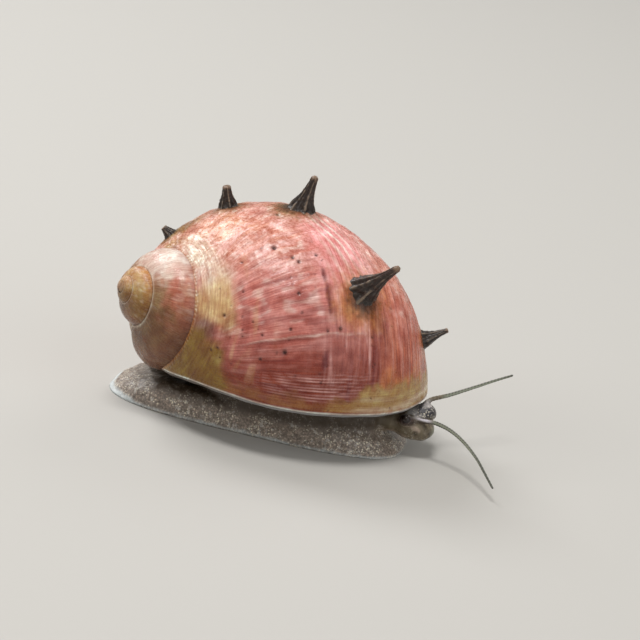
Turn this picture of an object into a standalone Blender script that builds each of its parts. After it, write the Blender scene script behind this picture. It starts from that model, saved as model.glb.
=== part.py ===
"""Horned nerite snail (Clithon), life size, crawling with its feelers out.

The head points along +X, the snail's left is +Y and the floor is z = 0.
The shell is wound by a growth rule: one whorl profile turns about the axis of
coiling and grows by a fixed ratio each turn. The lip lies in a level plane.
"""
import math

import bmesh
import bpy
from mathutils import Euler, Matrix, Vector
from mathutils.geometry import interpolate_bezier

MM = 0.001

# Gap between solids that touch, and the smaller one kept at the eyes
GAP = 0.3 * MM
EYE_GAP = 0.2 * MM

# Axis of coiling: the tip of the spire, and the way from it into the shell
SHELL_TIP = Vector((-8.63, -4.87, 7.53)) * MM
AXIS_YAW = math.radians(38.4)
AXIS_DIP = math.radians(14.1)

# Growth: size ratio of one turn, flare of the last turn, number of turns and where they end
TURN_RATIO = 2.137
LAST_TURN_FLARE = 0.117
TURN_COUNT = 3.6
LAST_TURN_ANGLE = math.radians(196)
TIP_RISE = 0.12 * MM

# Whorl profile: an oval in a plane through the axis, at the shell's full size
OVAL_ALONG_AXIS = 14.25 * MM
OVAL_OFF_AXIS = -0.27 * MM
OVAL_LONG = 10.9 * MM
OVAL_SHORT = 10.2 * MM
OVAL_TILT = math.radians(21.7)

# The lip plane, and the recess above it that the body fills
LIP_HEIGHT = 2.83 * MM
RECESS_DEPTH = 1.5 * MM

# Limit in plan for the left side, where the winding alone would flare out
LEFT_HALF_LENGTH = 10.2 * MM
LEFT_HALF_WIDTH = 6.6 * MM
LEFT_FREE_SHARE = 0.9
LEFT_BLEND = 3.0 * MM

# Callus: the smooth swelling that rounds the left side down to the lip plane
CALLUS_CENTRE = Vector((0.3, 1.0, 5.2)) * MM
CALLUS_SIZE = Vector((7.9, 5.35, 6.3)) * MM

# Each horn: turn and round angle of its root, length, root radius, forward lean
HORNS = (
    (math.radians(-39), math.radians(60), 0.65 * MM, 0.42 * MM, -0.1),
    (math.radians(-14), math.radians(81), 1.35 * MM, 0.60 * MM, 0.3),
    (math.radians(7), math.radians(105), 2.10 * MM, 0.85 * MM, 0.2),
    (math.radians(53), math.radians(114), 3.20 * MM, 0.95 * MM, 0.0),
    (math.radians(61), math.radians(159), 1.50 * MM, 0.60 * MM, -0.2),
)
HORN_SIDES = 10
HORN_SINK = 0.45 * MM

# Foot: a flat oval sole, a low side and a level top that carries the column
SOLE_HALF_LENGTH = 9.0 * MM
SOLE_HALF_WIDTH = 4.1 * MM
SOLE_SQUARENESS = 3.0
FOOT_HEIGHT = 1.7 * MM
FOOT_END_HEIGHT = 0.75 * MM
FOOT_LEVEL_HALF_LENGTH = 4.4 * MM
FOOT_LEVELS = ((0.98, 0.0), (1.0, 0.08), (0.98, 0.28), (0.94, 0.55), (0.88, 0.8), (0.8, 1.0))

# Body column, from the foot up into the shell's recess
COLUMN_X = 1.6 * MM
COLUMN_HALF_LENGTH = 6.0 * MM
COLUMN_HALF_WIDTH = 3.7 * MM
COLUMN_WAIST = 0.86

# Operculum: a thin plate that lies on the sloping tail, under the back of the shell
OPERCULUM_CENTRE = Vector((-6.1, 1.2, 2.0)) * MM
OPERCULUM_HALF_LENGTH = 1.25 * MM
OPERCULUM_HALF_WIDTH = 2.1 * MM
OPERCULUM_THICKNESS = 0.4 * MM
OPERCULUM_SLOPE = math.radians(-14)

# Head, turned a little to the right, with its snout down
HEAD_CENTRE = Vector((8.85, 0.0, 1.68)) * MM
HEAD_TURN = math.radians(-17)
HEAD_NOD = math.radians(10)
HEAD_HALF_LENGTH = 1.65 * MM
HEAD_HALF_WIDTH = 1.25 * MM
HEAD_HALF_HEIGHT = 0.88 * MM

# Eyes on the outer side of the feelers' roots
EYE_RADIUS = 0.33 * MM
EYE_RIGHT = Vector((8.95, -1.42, 2.05)) * MM
EYE_LEFT = Vector((9.75, 1.32, 2.05)) * MM

# Feelers: centre line of each, from inside the head to the tip
FEELER_RIGHT = tuple(Vector(p) * MM for p in (
    (9.3, -0.75, 1.95), (10.5, -0.95, 2.35), (11.4, -1.35, 2.22), (12.3, -1.85, 1.9),
    (13.3, -2.8, 1.45), (14.2, -3.95, 0.98), (14.9, -4.95, 0.6),
))
FEELER_LEFT = tuple(Vector(p) * MM for p in (
    (9.5, 0.55, 2.05), (9.95, 1.1, 2.85), (10.75, 2.05, 3.3), (11.85, 2.95, 3.68),
    (12.75, 4.05, 3.93), (13.6, 5.2, 4.1),
))
FEELER_ROOT_RADIUS = 0.30 * MM
FEELER_TIP_RADIUS = 0.16 * MM
FEELER_STEP = 0.5 * MM
FEELER_STUB_SHARE = 0.17
FEELER_MIDDLE_SHARE = 0.55

# Resolution of the solids
STEPS_PER_TURN = 52
BAND_ROWS = 5
BASE_ROWS = 14
OVAL_STEPS = 44
BALL_SIDES = 24

SHELL_RED = (0.42, 0.09, 0.075)
SPIRE_BROWN = (0.30, 0.12, 0.075)
FOOT_GREY = (0.11, 0.11, 0.105)
HEAD_GREY = (0.13, 0.12, 0.10)
EYE_BLACK = (0.01, 0.01, 0.012)
PLATE_TAN = (0.35, 0.25, 0.14)


def axis_directions():
    """Unit vectors: into the shell, upward across the axis, and out to the right."""
    into = Vector((
        math.cos(AXIS_DIP) * math.cos(AXIS_YAW),
        math.cos(AXIS_DIP) * math.sin(AXIS_YAW),
        -math.sin(AXIS_DIP),
    ))
    up = (Vector((0, 0, 1)) - into * into.z).normalized()
    return into, up, into.cross(up)


def smooth_step(x):
    x = min(1.0, max(0.0, x))
    return x * x * (3 - 2 * x)


def whorl_scale(turn):
    """Size of the whorl at a turn angle, along the axis and away from it."""
    size = TURN_RATIO ** ((turn - math.pi) / (2 * math.pi))
    flare = 1 + LAST_TURN_FLARE * smooth_step((turn + math.pi) / (2 * math.pi))
    return size, size * flare


def oval(round_angle):
    """Whorl profile: distance along the axis and off it, from the spire side round."""
    a = -OVAL_LONG * math.cos(round_angle)
    b = OVAL_SHORT * math.sin(round_angle)
    along = OVAL_ALONG_AXIS + a * math.cos(OVAL_TILT) - b * math.sin(OVAL_TILT)
    off = OVAL_OFF_AXIS + a * math.sin(OVAL_TILT) + b * math.cos(OVAL_TILT)
    return along, off


def oval_coordinates(turn, along, off):
    """Place of a point in the profile of a turn, where 1 is the oval's edge."""
    along_scale, off_scale = whorl_scale(turn)
    a = along / along_scale - OVAL_ALONG_AXIS
    b = off / off_scale - OVAL_OFF_AXIS
    x = (a * math.cos(OVAL_TILT) + b * math.sin(OVAL_TILT)) / OVAL_LONG
    y = (b * math.cos(OVAL_TILT) - a * math.sin(OVAL_TILT)) / OVAL_SHORT
    return x, y


def axis_point(turn, along, off):
    """Point at a distance along the axis and off it, in the half plane of a turn."""
    into, up, side = axis_directions()
    outward = up * math.cos(turn) + side * math.sin(turn)
    return SHELL_TIP + into * along + outward * off


def limit_left(point):
    """Draw a point of the left side inside the oval that bounds the shell in plan."""
    reach = math.hypot(point.x / LEFT_HALF_LENGTH, point.y / LEFT_HALF_WIDTH)
    if reach <= LEFT_FREE_SHARE or point.y <= 0:
        return point
    room = 1 - LEFT_FREE_SHARE
    limited = LEFT_FREE_SHARE + room * math.tanh((reach - LEFT_FREE_SHARE) / room)
    share = 1 + (limited / reach - 1) * smooth_step(point.y / LEFT_BLEND)
    return Vector((point.x * share, point.y * share, point.z))


def shell_point(turn, round_angle):
    along, off = oval(round_angle)
    along_scale, off_scale = whorl_scale(turn)
    return limit_left(axis_point(turn, along * along_scale, off * off_scale))


def suture_angle(turn):
    """Round angle where the whorl leaves the whorl before it."""
    along_scale, off_scale = whorl_scale(turn)
    low, high = math.radians(26), math.radians(120)
    for _ in range(30):
        middle = (low + high) / 2
        along, off = oval(middle)
        x, y = oval_coordinates(turn - 2 * math.pi, along * along_scale, off * off_scale)
        if x * x + y * y < 1:
            low = middle
        else:
            high = middle
    return high


def suture_place(turn):
    """Distances along and off the axis where the whorl leaves the one before it."""
    along, off = oval(suture_angle(turn))
    along_scale, off_scale = whorl_scale(turn)
    return along * along_scale, off * off_scale


def cover_angle(turn):
    """Round angle where the next whorl covers this one."""
    along, off = suture_place(turn + 2 * math.pi)
    x, y = oval_coordinates(turn, along, off)
    return math.atan2(y, -x)


def front_end_angle():
    """Round angle where the profile comes back to the axis at the far end."""
    a = OVAL_LONG * math.sin(OVAL_TILT)
    b = OVAL_SHORT * math.cos(OVAL_TILT)
    return math.atan2(a, b) + math.pi + math.asin(OVAL_OFF_AXIS / math.hypot(a, b))


def wind_shell(bm):
    """Open skin of all whorls: a band wound from the tip, and the last turn's base."""
    total = round(TURN_COUNT * STEPS_PER_TURN)
    step = 2 * math.pi / STEPS_PER_TURN
    turns = [LAST_TURN_ANGLE - step * (total - i) for i in range(total + 1)]
    band = []
    for i, turn in enumerate(turns):
        start, end = suture_angle(turn), cover_angle(turn)
        column = []
        for row in range(BAND_ROWS + 1):
            if row == 0 and i >= STEPS_PER_TURN:
                column.append(band[i - STEPS_PER_TURN][BAND_ROWS])
                continue
            angle = start + (end - start) * row / BAND_ROWS
            column.append(bm.verts.new(shell_point(turn, angle)))
        band.append(column)
    base = []
    end = front_end_angle()
    for i in range(total - STEPS_PER_TURN, total + 1):
        start = cover_angle(turns[i])
        column = [band[i][BAND_ROWS]]
        for row in range(1, BASE_ROWS + 1):
            angle = start + (end - start) * row / BASE_ROWS
            column.append(bm.verts.new(shell_point(turns[i], angle)))
        base.append(column)
    for columns in (band, base):
        for left, right in zip(columns, columns[1:]):
            for row in range(len(left) - 1):
                bm.faces.new((left[row], left[row + 1], right[row + 1], right[row]))
    rim = [band[i][0] for i in range(STEPS_PER_TURN + 1)]
    rim += [band[0][row] for row in range(BAND_ROWS - 1, 0, -1)]
    middle = sum((vert.co for vert in rim), Vector()) / len(rim)
    cap = bm.verts.new(middle - axis_directions()[0] * TIP_RISE)
    for first, second in zip(rim, rim[1:] + rim[:1]):
        bm.faces.new((first, second, cap))


def drop_open_edges(bm, height):
    """Carry every open edge straight down to a level, as walls."""
    open_edges = [edge for edge in bm.edges if edge.is_boundary]
    extruded = bmesh.ops.extrude_edge_only(bm, edges=open_edges)["geom"]
    for element in extruded:
        if isinstance(element, bmesh.types.BMVert):
            element.co.z = height


def close_at(bm, height):
    """Cut away what lies below a level and close the opening there."""
    bmesh.ops.bisect_plane(
        bm, geom=bm.verts[:] + bm.edges[:] + bm.faces[:], dist=1e-8,
        plane_co=(0, 0, height), plane_no=(0, 0, 1), clear_inner=True,
    )
    open_edges = [edge for edge in bm.edges if edge.is_boundary]
    bmesh.ops.triangle_fill(bm, edges=open_edges, use_beauty=True)


def oval_points(half_length, half_width, steps=OVAL_STEPS):
    """Points of a squarish oval about the origin."""
    points = []
    for i in range(steps):
        c = math.cos(2 * math.pi * i / steps)
        s = math.sin(2 * math.pi * i / steps)
        x = half_length * math.copysign(abs(c) ** (2 / SOLE_SQUARENESS), c)
        y = half_width * math.copysign(abs(s) ** (2 / SOLE_SQUARENESS), s)
        points.append((x, y))
    return points


def loft(rings):
    """Closed body through rings of equal count, capped at both ends."""
    bm = bmesh.new()
    loops = [[bm.verts.new(point) for point in ring] for ring in rings]
    for low, high in zip(loops, loops[1:]):
        for i in range(len(low)):
            j = (i + 1) % len(low)
            bm.faces.new((low[i], low[j], high[j], high[i]))
    bm.faces.new(list(reversed(loops[0])))
    bm.faces.new(loops[-1])
    return bm


def make_material(name, colour, roughness):
    material = bpy.data.materials.new(name)
    material.use_nodes = True
    shader = material.node_tree.nodes["Principled BSDF"]
    shader.inputs["Base Color"].default_value = (*colour, 1.0)
    shader.inputs["Roughness"].default_value = roughness
    shader.inputs["Metallic"].default_value = 0.0
    return material


def make_object(name, bm):
    """Object of a closed bmesh, its faces turned outward."""
    bmesh.ops.recalc_face_normals(bm, faces=bm.faces)
    mesh = bpy.data.meshes.new(name)
    bm.to_mesh(mesh)
    bm.free()
    obj = bpy.data.objects.new(name, mesh)
    bpy.context.scene.collection.objects.link(obj)
    return obj


def boolean(obj, operation, others, solver="EXACT"):
    """Boolean of an object with closed meshes, applied, and the meshes removed."""
    group = bpy.data.collections.new("operands")
    bpy.context.scene.collection.children.link(group)
    for other in others:
        bpy.context.scene.collection.objects.unlink(other)
        group.objects.link(other)
    modifier = obj.modifiers.new("boolean", "BOOLEAN")
    modifier.operation = operation
    modifier.solver = solver
    modifier.operand_type = "COLLECTION"
    modifier.collection = group
    graph = bpy.context.evaluated_depsgraph_get()
    result = bpy.data.meshes.new_from_object(obj.evaluated_get(graph))
    obj.modifiers.clear()
    obj.data = result
    for other in others:
        bpy.data.objects.remove(other)
    bpy.data.collections.remove(group)


def islands(bm):
    """Sets of joined vertices, the one with the most first."""
    left = set(bm.verts)
    found = []
    while left:
        stack = [left.pop()]
        island = set(stack)
        while stack:
            for edge in stack.pop().link_edges:
                for vert in edge.verts:
                    if vert in left:
                        left.remove(vert)
                        island.add(vert)
                        stack.append(vert)
        found.append(island)
    return sorted(found, key=len, reverse=True)


def keep_largest(obj):
    bm = bmesh.new()
    bm.from_mesh(obj.data)
    for island in islands(bm)[1:]:
        bmesh.ops.delete(bm, geom=list(island), context="VERTS")
    bm.to_mesh(obj.data)
    bm.free()


def split_in_two(obj, names):
    """Make two objects of the two largest closed surfaces of one."""
    made = []
    for keep, name in enumerate(names):
        bm = bmesh.new()
        bm.from_mesh(obj.data)
        for index, island in enumerate(islands(bm)):
            if index != keep:
                bmesh.ops.delete(bm, geom=list(island), context="VERTS")
        made.append(make_object(name, bm))
    bpy.data.objects.remove(obj)
    return made


def make_shell():
    """All the whorls as one closed body, with the callus under the left side."""
    below = LIP_HEIGHT - 1.0 * MM
    bm = bmesh.new()
    wind_shell(bm)
    drop_open_edges(bm, -5.0 * MM)
    close_at(bm, below)
    shell = make_object("shell", bm)
    callus = bmesh.new()
    bmesh.ops.create_uvsphere(callus, u_segments=40, v_segments=24, radius=1.0)
    callus.transform(Matrix.LocRotScale(CALLUS_CENTRE, None, CALLUS_SIZE))
    close_at(callus, below - 0.1 * MM)
    boolean(shell, "UNION", [make_object("callus", callus)])
    bm = bmesh.new()
    bm.from_mesh(shell.data)
    close_at(bm, LIP_HEIGHT)
    bpy.data.objects.remove(shell)
    return make_object("shell", bm)


def make_column(grow):
    """Body column, or with growth the room that it needs in the shell."""
    low = FOOT_HEIGHT + GAP
    high = LIP_HEIGHT + RECESS_DEPTH - GAP
    levels = (
        (low - grow, COLUMN_WAIST),
        (low + 0.4 * (high - low), 1.0),
        (high - 0.3 * MM, 1.0),
        (high + grow, 0.96),
    )
    rings = []
    for z, share in levels:
        points = oval_points(COLUMN_HALF_LENGTH * share + grow, COLUMN_HALF_WIDTH * share + grow)
        rings.append([Vector((COLUMN_X + x, y, z)) for x, y in points])
    return loft(rings)


def make_suture_cutter():
    """Thin slab along the last turn's suture: a ramp, its step and a core rod."""
    overlap = 0.04 * MM
    into = axis_directions()[0]
    first_turn = LAST_TURN_ANGLE - 2 * math.pi
    rings = []
    for i in range(STEPS_PER_TURN + 1):
        turn = first_turn + 2 * math.pi * i / STEPS_PER_TURN
        along, off = suture_place(turn)
        reach = off + 0.5 * MM
        low, high = along - GAP + overlap, along + overlap
        rings.append([
            axis_point(turn, low, 0.05 * MM),
            axis_point(turn, low, reach),
            axis_point(turn, high, reach),
            axis_point(turn, high, 0.05 * MM),
        ])
    ramp = make_object("ramp", loft(rings))
    start = suture_place(first_turn)[0] - GAP
    end = suture_place(LAST_TURN_ANGLE)[0] + 2 * overlap
    _, up, side = axis_directions()
    across = (side * math.cos(LAST_TURN_ANGLE) - up * math.sin(LAST_TURN_ANGLE)) * (GAP / 2)
    corners = (
        axis_point(LAST_TURN_ANGLE, start, -overlap),
        axis_point(LAST_TURN_ANGLE, end, -overlap),
        axis_point(LAST_TURN_ANGLE, end, 7 * MM),
        axis_point(LAST_TURN_ANGLE, start, 7 * MM),
    )
    step = make_object("step", loft([[c - across for c in corners], [c + across for c in corners]]))
    rod = bmesh.new()
    bmesh.ops.create_cone(
        rod, cap_ends=True, segments=8, radius1=GAP / 2, radius2=GAP / 2,
        depth=end - start + 2 * overlap,
    )
    turn_to_axis = into.to_track_quat("Z", "Y")
    middle = axis_point(0, (start + end) / 2, 0)
    rod.transform(Matrix.LocRotScale(middle, turn_to_axis, None))
    boolean(ramp, "UNION", [step, make_object("rod", rod)])
    return ramp


def make_horn(turn, round_angle, length, root_radius, lean):
    """One horn: a flared root sunk in the shell and a blunt tip, along the surface's normal."""
    small = 0.01
    root = shell_point(turn, round_angle)
    forward = (shell_point(turn + small, round_angle) - root).normalized()
    across = (shell_point(turn, round_angle + small) - root).normalized()
    normal = across.cross(forward).normalized()
    if normal.dot(root - axis_point(turn, suture_place(turn)[0], 0)) < 0:
        normal = -normal
    direction = (normal + forward * lean).normalized()
    side = direction.cross(across).normalized()
    other = direction.cross(side)
    levels = (
        (0.0, 0.95), (0.12, 0.74), (0.3, 0.56), (0.55, 0.41), (0.85, 0.27), (1.0, 0.17),
    )
    rings = []
    for height, share in ((-HORN_SINK / length, 1.0),) + levels:
        z = height * length
        radius = root_radius * share
        ring = []
        for i in range(HORN_SIDES):
            angle = 2 * math.pi * i / HORN_SIDES
            place = side * math.cos(angle) + other * math.sin(angle)
            ring.append(root + direction * z + place * radius)
        rings.append(ring)
    return make_object("horn", loft(rings))


def make_foot(grow):
    """Foot: flat sole, bulging edge, lower toward both ends; growth makes a cutter."""
    rings = []
    for share, height in FOOT_LEVELS:
        ring = []
        for x, y in oval_points(SOLE_HALF_LENGTH * share + grow, SOLE_HALF_WIDTH * share + grow):
            reach = (abs(x) - FOOT_LEVEL_HALF_LENGTH) / (SOLE_HALF_LENGTH - FOOT_LEVEL_HALF_LENGTH)
            top = FOOT_HEIGHT + (FOOT_END_HEIGHT - FOOT_HEIGHT) * smooth_step(reach)
            z = top * height + grow if height > 0 else -grow
            ring.append(Vector((x, y, z)))
        rings.append(ring)
    return loft(rings)


def make_operculum():
    rings = []
    for height, share in ((-0.5, 0.94), (-0.1, 1.0), (0.5, 0.95)):
        points = oval_points(OPERCULUM_HALF_LENGTH * share, OPERCULUM_HALF_WIDTH * share, 28)
        rings.append([Vector((x, y, height * OPERCULUM_THICKNESS)) for x, y in points])
    plate = loft(rings)
    slope = Euler((0, OPERCULUM_SLOPE, 0)).to_quaternion()
    plate.transform(Matrix.LocRotScale(OPERCULUM_CENTRE, slope, None))
    return plate


def smooth_path(points, start, end, spacing):
    """Evenly spaced places on a smooth curve through points, between two shares of it."""
    fine = []
    for i in range(len(points) - 1):
        before = points[max(i - 1, 0)]
        after = points[min(i + 2, len(points) - 1)]
        handle_a = points[i] + (points[i + 1] - before) / 6
        handle_b = points[i + 1] - (after - points[i]) / 6
        fine += interpolate_bezier(points[i], handle_a, handle_b, points[i + 1], 24)[:-1]
    fine.append(points[-1])
    reach = [0.0]
    for first, second in zip(fine, fine[1:]):
        reach.append(reach[-1] + (second - first).length)
    total = reach[-1]
    count = max(2, round((end - start) * total / spacing))
    path = []
    for i in range(count + 1):
        wanted = total * (start + (end - start) * i / count)
        index = max(k for k in range(len(fine) - 1) if reach[k] <= wanted + 1e-9)
        share = (wanted - reach[index]) / (reach[index + 1] - reach[index])
        path.append(fine[index].lerp(fine[index + 1], share))
    return path, total


def make_tube(name, path, radii):
    """Closed tube of round section along a path, from a curve with filled caps."""
    curve = bpy.data.curves.new(name, "CURVE")
    curve.dimensions = "3D"
    curve.bevel_depth = 1.0
    curve.bevel_resolution = 2
    curve.use_fill_caps = True
    spline = curve.splines.new("POLY")
    spline.points.add(len(path) - 1)
    for point, place, radius in zip(spline.points, path, radii):
        point.co = (*place, 1)
        point.radius = radius
    source = bpy.data.objects.new(name, curve)
    bpy.context.scene.collection.objects.link(source)
    graph = bpy.context.evaluated_depsgraph_get()
    bm = bmesh.new()
    bm.from_mesh(source.evaluated_get(graph).to_mesh())
    bpy.data.objects.remove(source)
    bmesh.ops.remove_doubles(bm, verts=bm.verts, dist=1e-7)
    return make_object(name, bm)


def feeler_piece(name, points, start, end):
    """Length of a feeler between two shares of its way, thinner toward the tip."""
    path, _ = smooth_path(points, start, end, FEELER_STEP)
    radii = []
    for i in range(len(path)):
        share = start + (end - start) * i / (len(path) - 1)
        radii.append(FEELER_ROOT_RADIUS + (FEELER_TIP_RADIUS - FEELER_ROOT_RADIUS) * share)
    return make_tube(name, path, radii)


def make_ball(name, centre, size, turn=None):
    ball = bmesh.new()
    bmesh.ops.create_uvsphere(ball, u_segments=BALL_SIDES, v_segments=BALL_SIDES // 2, radius=1.0)
    ball.transform(Matrix.LocRotScale(centre, turn, size))
    return make_object(name, ball)


def make_head():
    """Snout and neck: an oval ball with the feelers' stubs, cut clear of foot, body and eyes."""
    turn = Euler((0, HEAD_NOD, HEAD_TURN), "XYZ").to_quaternion()
    size = Vector((HEAD_HALF_LENGTH, HEAD_HALF_WIDTH, HEAD_HALF_HEIGHT))
    snout = make_ball("head", HEAD_CENTRE, size, turn)
    stubs = [
        feeler_piece("stub", points, 0.0, FEELER_STUB_SHARE)
        for points in (FEELER_RIGHT, FEELER_LEFT)
    ]
    boolean(snout, "UNION", stubs)
    room = Vector((1, 1, 1)) * (EYE_RADIUS + EYE_GAP)
    cutters = [make_ball("socket", place, room) for place in (EYE_RIGHT, EYE_LEFT)]
    cutters.append(make_object("foot_room", make_foot(GAP)))
    cutters.append(make_object("column_room", make_column(GAP)))
    for cutter in cutters:
        boolean(snout, "DIFFERENCE", [cutter])
    keep_largest(snout)
    return snout


def finish(obj, material, collection, crease):
    """Put an object in the snail's collection with its material and smooth shading."""
    bpy.context.scene.collection.objects.unlink(obj)
    collection.objects.link(obj)
    obj.data.materials.clear()
    obj.data.materials.append(material)
    obj.data.shade_smooth()
    obj.data.set_sharp_from_angle(angle=crease)


for obj in list(bpy.data.objects):
    bpy.data.objects.remove(obj)
snail = bpy.data.collections.new("horned_nerite_snail")
bpy.context.scene.collection.children.link(snail)

shell = make_shell()
boolean(shell, "DIFFERENCE", [make_object("room", make_column(GAP))])
keep_largest(shell)
boolean(shell, "DIFFERENCE", [make_suture_cutter()])
body_whorl, spire = split_in_two(shell, ("shell_body_whorl", "shell_spire"))
boolean(body_whorl, "UNION", [make_horn(*horn) for horn in HORNS], "MANIFOLD")
keep_largest(body_whorl)
crease = math.radians(40)
finish(body_whorl, make_material("shell_red", SHELL_RED, 0.35), snail, crease)
finish(spire, make_material("spire_brown", SPIRE_BROWN, 0.4), snail, crease)

foot_grey = make_material("foot_grey", FOOT_GREY, 0.4)
finish(make_object("foot", make_foot(0)), foot_grey, snail, crease)
finish(make_object("body_column", make_column(0)), foot_grey, snail, crease)
plate_tan = make_material("operculum_tan", PLATE_TAN, 0.45)
finish(make_object("operculum", make_operculum()), plate_tan, snail, crease)

head_grey = make_material("head_grey", HEAD_GREY, 0.4)
finish(make_head(), head_grey, snail, crease)
for side_name, points in (("right", FEELER_RIGHT), ("left", FEELER_LEFT)):
    gap_share = GAP / smooth_path(points, 0.0, 1.0, FEELER_STEP)[1]
    pieces = (
        ("root", FEELER_STUB_SHARE + gap_share, FEELER_MIDDLE_SHARE),
        ("tip", FEELER_MIDDLE_SHARE + gap_share, 1.0),
    )
    for piece_name, start, end in pieces:
        name = "tentacle_" + side_name + "_" + piece_name
        finish(feeler_piece(name, points, start, end), head_grey, snail, crease)

eye_black = make_material("eye_black", EYE_BLACK, 0.1)
for side_name, place in (("right", EYE_RIGHT), ("left", EYE_LEFT)):
    eye = make_ball("eye_" + side_name, place, Vector((1, 1, 1)) * EYE_RADIUS)
    finish(eye, eye_black, snail, math.radians(60))
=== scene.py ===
"""Horned nerite snail, life size, crawling with its feelers out."""
import math
import random

import bmesh
import bpy
import numpy as np
from mathutils import Matrix, Vector, noise
from mathutils.bvhtree import BVHTree


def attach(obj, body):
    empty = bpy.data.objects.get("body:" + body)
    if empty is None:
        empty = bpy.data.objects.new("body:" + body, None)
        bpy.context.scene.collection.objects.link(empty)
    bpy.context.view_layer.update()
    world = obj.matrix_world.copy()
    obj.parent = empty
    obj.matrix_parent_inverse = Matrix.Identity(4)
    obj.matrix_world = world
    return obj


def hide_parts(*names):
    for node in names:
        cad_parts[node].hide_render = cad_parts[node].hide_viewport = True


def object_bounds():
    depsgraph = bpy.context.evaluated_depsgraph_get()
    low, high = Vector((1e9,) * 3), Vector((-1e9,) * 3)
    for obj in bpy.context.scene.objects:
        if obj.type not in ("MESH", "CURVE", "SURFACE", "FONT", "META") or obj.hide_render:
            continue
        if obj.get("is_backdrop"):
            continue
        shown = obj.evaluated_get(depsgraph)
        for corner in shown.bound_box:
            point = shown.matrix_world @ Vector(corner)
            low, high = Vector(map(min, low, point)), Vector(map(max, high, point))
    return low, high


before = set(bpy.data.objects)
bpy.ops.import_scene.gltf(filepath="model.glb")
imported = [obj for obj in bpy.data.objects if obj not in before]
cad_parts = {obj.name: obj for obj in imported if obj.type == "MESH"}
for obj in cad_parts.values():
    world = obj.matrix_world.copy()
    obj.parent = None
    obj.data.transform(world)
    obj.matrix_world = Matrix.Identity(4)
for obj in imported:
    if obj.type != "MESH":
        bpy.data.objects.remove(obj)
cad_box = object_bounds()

MM = 0.001

# The camera: it looks at the snail's right side, from above and a little ahead. It is rolled,
# because the snail of the photo crawls downhill. A long lens far off keeps the outline true.
VIEW_TURN = math.radians(9.6)
VIEW_RISE = math.radians(19.0)
VIEW_ROLL = math.radians(10.12)
VIEW_DISTANCE = 200 * MM
VIEW_WIDTH = 37.2 * MM
VIEW_AIM_RIGHT = 3.62 * MM
VIEW_AIM_UP = 5.47 * MM
SENSOR = 36.0

toward = Vector((
    math.sin(VIEW_TURN) * math.cos(VIEW_RISE),
    -math.cos(VIEW_TURN) * math.cos(VIEW_RISE),
    math.sin(VIEW_RISE),
))
level_right = Vector((math.cos(VIEW_TURN), math.sin(VIEW_TURN), 0))
level_up = toward.cross(level_right)
right = level_right * math.cos(VIEW_ROLL) + level_up * math.sin(VIEW_ROLL)
up = toward.cross(right)
place = toward * VIEW_DISTANCE + right * VIEW_AIM_RIGHT + up * VIEW_AIM_UP
bpy.ops.object.camera_add()
camera = bpy.context.object
camera.name = "camera"
camera.data.sensor_width = SENSOR
camera.data.lens = SENSOR * VIEW_DISTANCE / VIEW_WIDTH
camera.data.clip_start = 10 * MM
camera.data.clip_end = 5.0
camera.matrix_world = Matrix.Translation(place) @ Matrix((right, up, toward)).transposed().to_4x4()
bpy.context.scene.camera = camera


# Floor and light: a plain pale matt floor in a pale room, and five soft lights: one overhead,
# two high on the tail's side, a wide one beside the head and one from the far side.
FLOOR_SIZE = 1.6
FLOOR_COLOUR = (0.50, 0.49, 0.47)
ROOM_COLOUR = (1.0, 0.96, 0.88)
ROOM_STRENGTH = 0.24
# Each light: direction it comes from, distance, width and height in millimetres, power, colour
LIGHTS = (
    ((-0.14, -0.24, 1.3), 260, 95, 80, 0.38, (1.0, 0.98, 0.95)),
    ((-0.66, 0.42, 0.74), 260, 120, 100, 0.36, (1.0, 1.0, 1.0)),
    ((-1.4, -0.9, 1.0), 280, 140, 110, 0.12, (1.0, 0.98, 0.95)),
    ((1.2, -0.7, 0.8), 320, 340, 340, 0.26, (0.97, 0.99, 1.0)),
    ((0.5, 1.3, 1.0), 300, 160, 160, 0.12, (1.0, 1.0, 0.97)),
)


def shade(tree, kind, inputs, **settings):
    """A shader node with its sockets set, or linked where the value is another socket."""
    node = tree.nodes.new("ShaderNode" + kind)
    for name, value in settings.items():
        setattr(node, name, value)
    for name, value in inputs.items():
        if isinstance(value, bpy.types.NodeSocket):
            tree.links.new(value, node.inputs[name])
        else:
            node.inputs[name].default_value = value
    return node


def new_material(name, roughness):
    """A material with a plain shader, and its node tree and shader node."""
    material = bpy.data.materials.new(name)
    material.use_nodes = True
    tree = material.node_tree
    shader = tree.nodes["Principled BSDF"]
    shader.inputs["Roughness"].default_value = roughness
    return material, tree, shader


bpy.ops.mesh.primitive_plane_add(size=FLOOR_SIZE)
floor = bpy.context.object
floor.name = "floor"
floor_material, tree, shader = new_material("pale_floor", 0.85)
shader.inputs["Base Color"].default_value = (*FLOOR_COLOUR, 1)
shader.inputs["Specular IOR Level"].default_value = 0.2
floor.data.materials.append(floor_material)
floor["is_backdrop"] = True

room = bpy.data.worlds.new("room")
room.use_nodes = True
background = room.node_tree.nodes["Background"]
background.inputs["Color"].default_value = (*ROOM_COLOUR, 1)
background.inputs["Strength"].default_value = ROOM_STRENGTH
bpy.context.scene.world = room
bpy.context.scene.view_settings.view_transform = "Standard"
for direction, distance, width, height, power, colour in LIGHTS:
    way = Vector(direction).normalized()
    bpy.ops.object.light_add(type="AREA", location=way * (distance * MM))
    light = bpy.context.object
    light.rotation_euler = way.to_track_quat("Z", "Y").to_euler()
    light.data.shape = "ELLIPSE"
    light.data.size = width * MM
    light.data.size_y = height * MM
    light.data.energy = power
    light.data.color = colour


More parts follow.
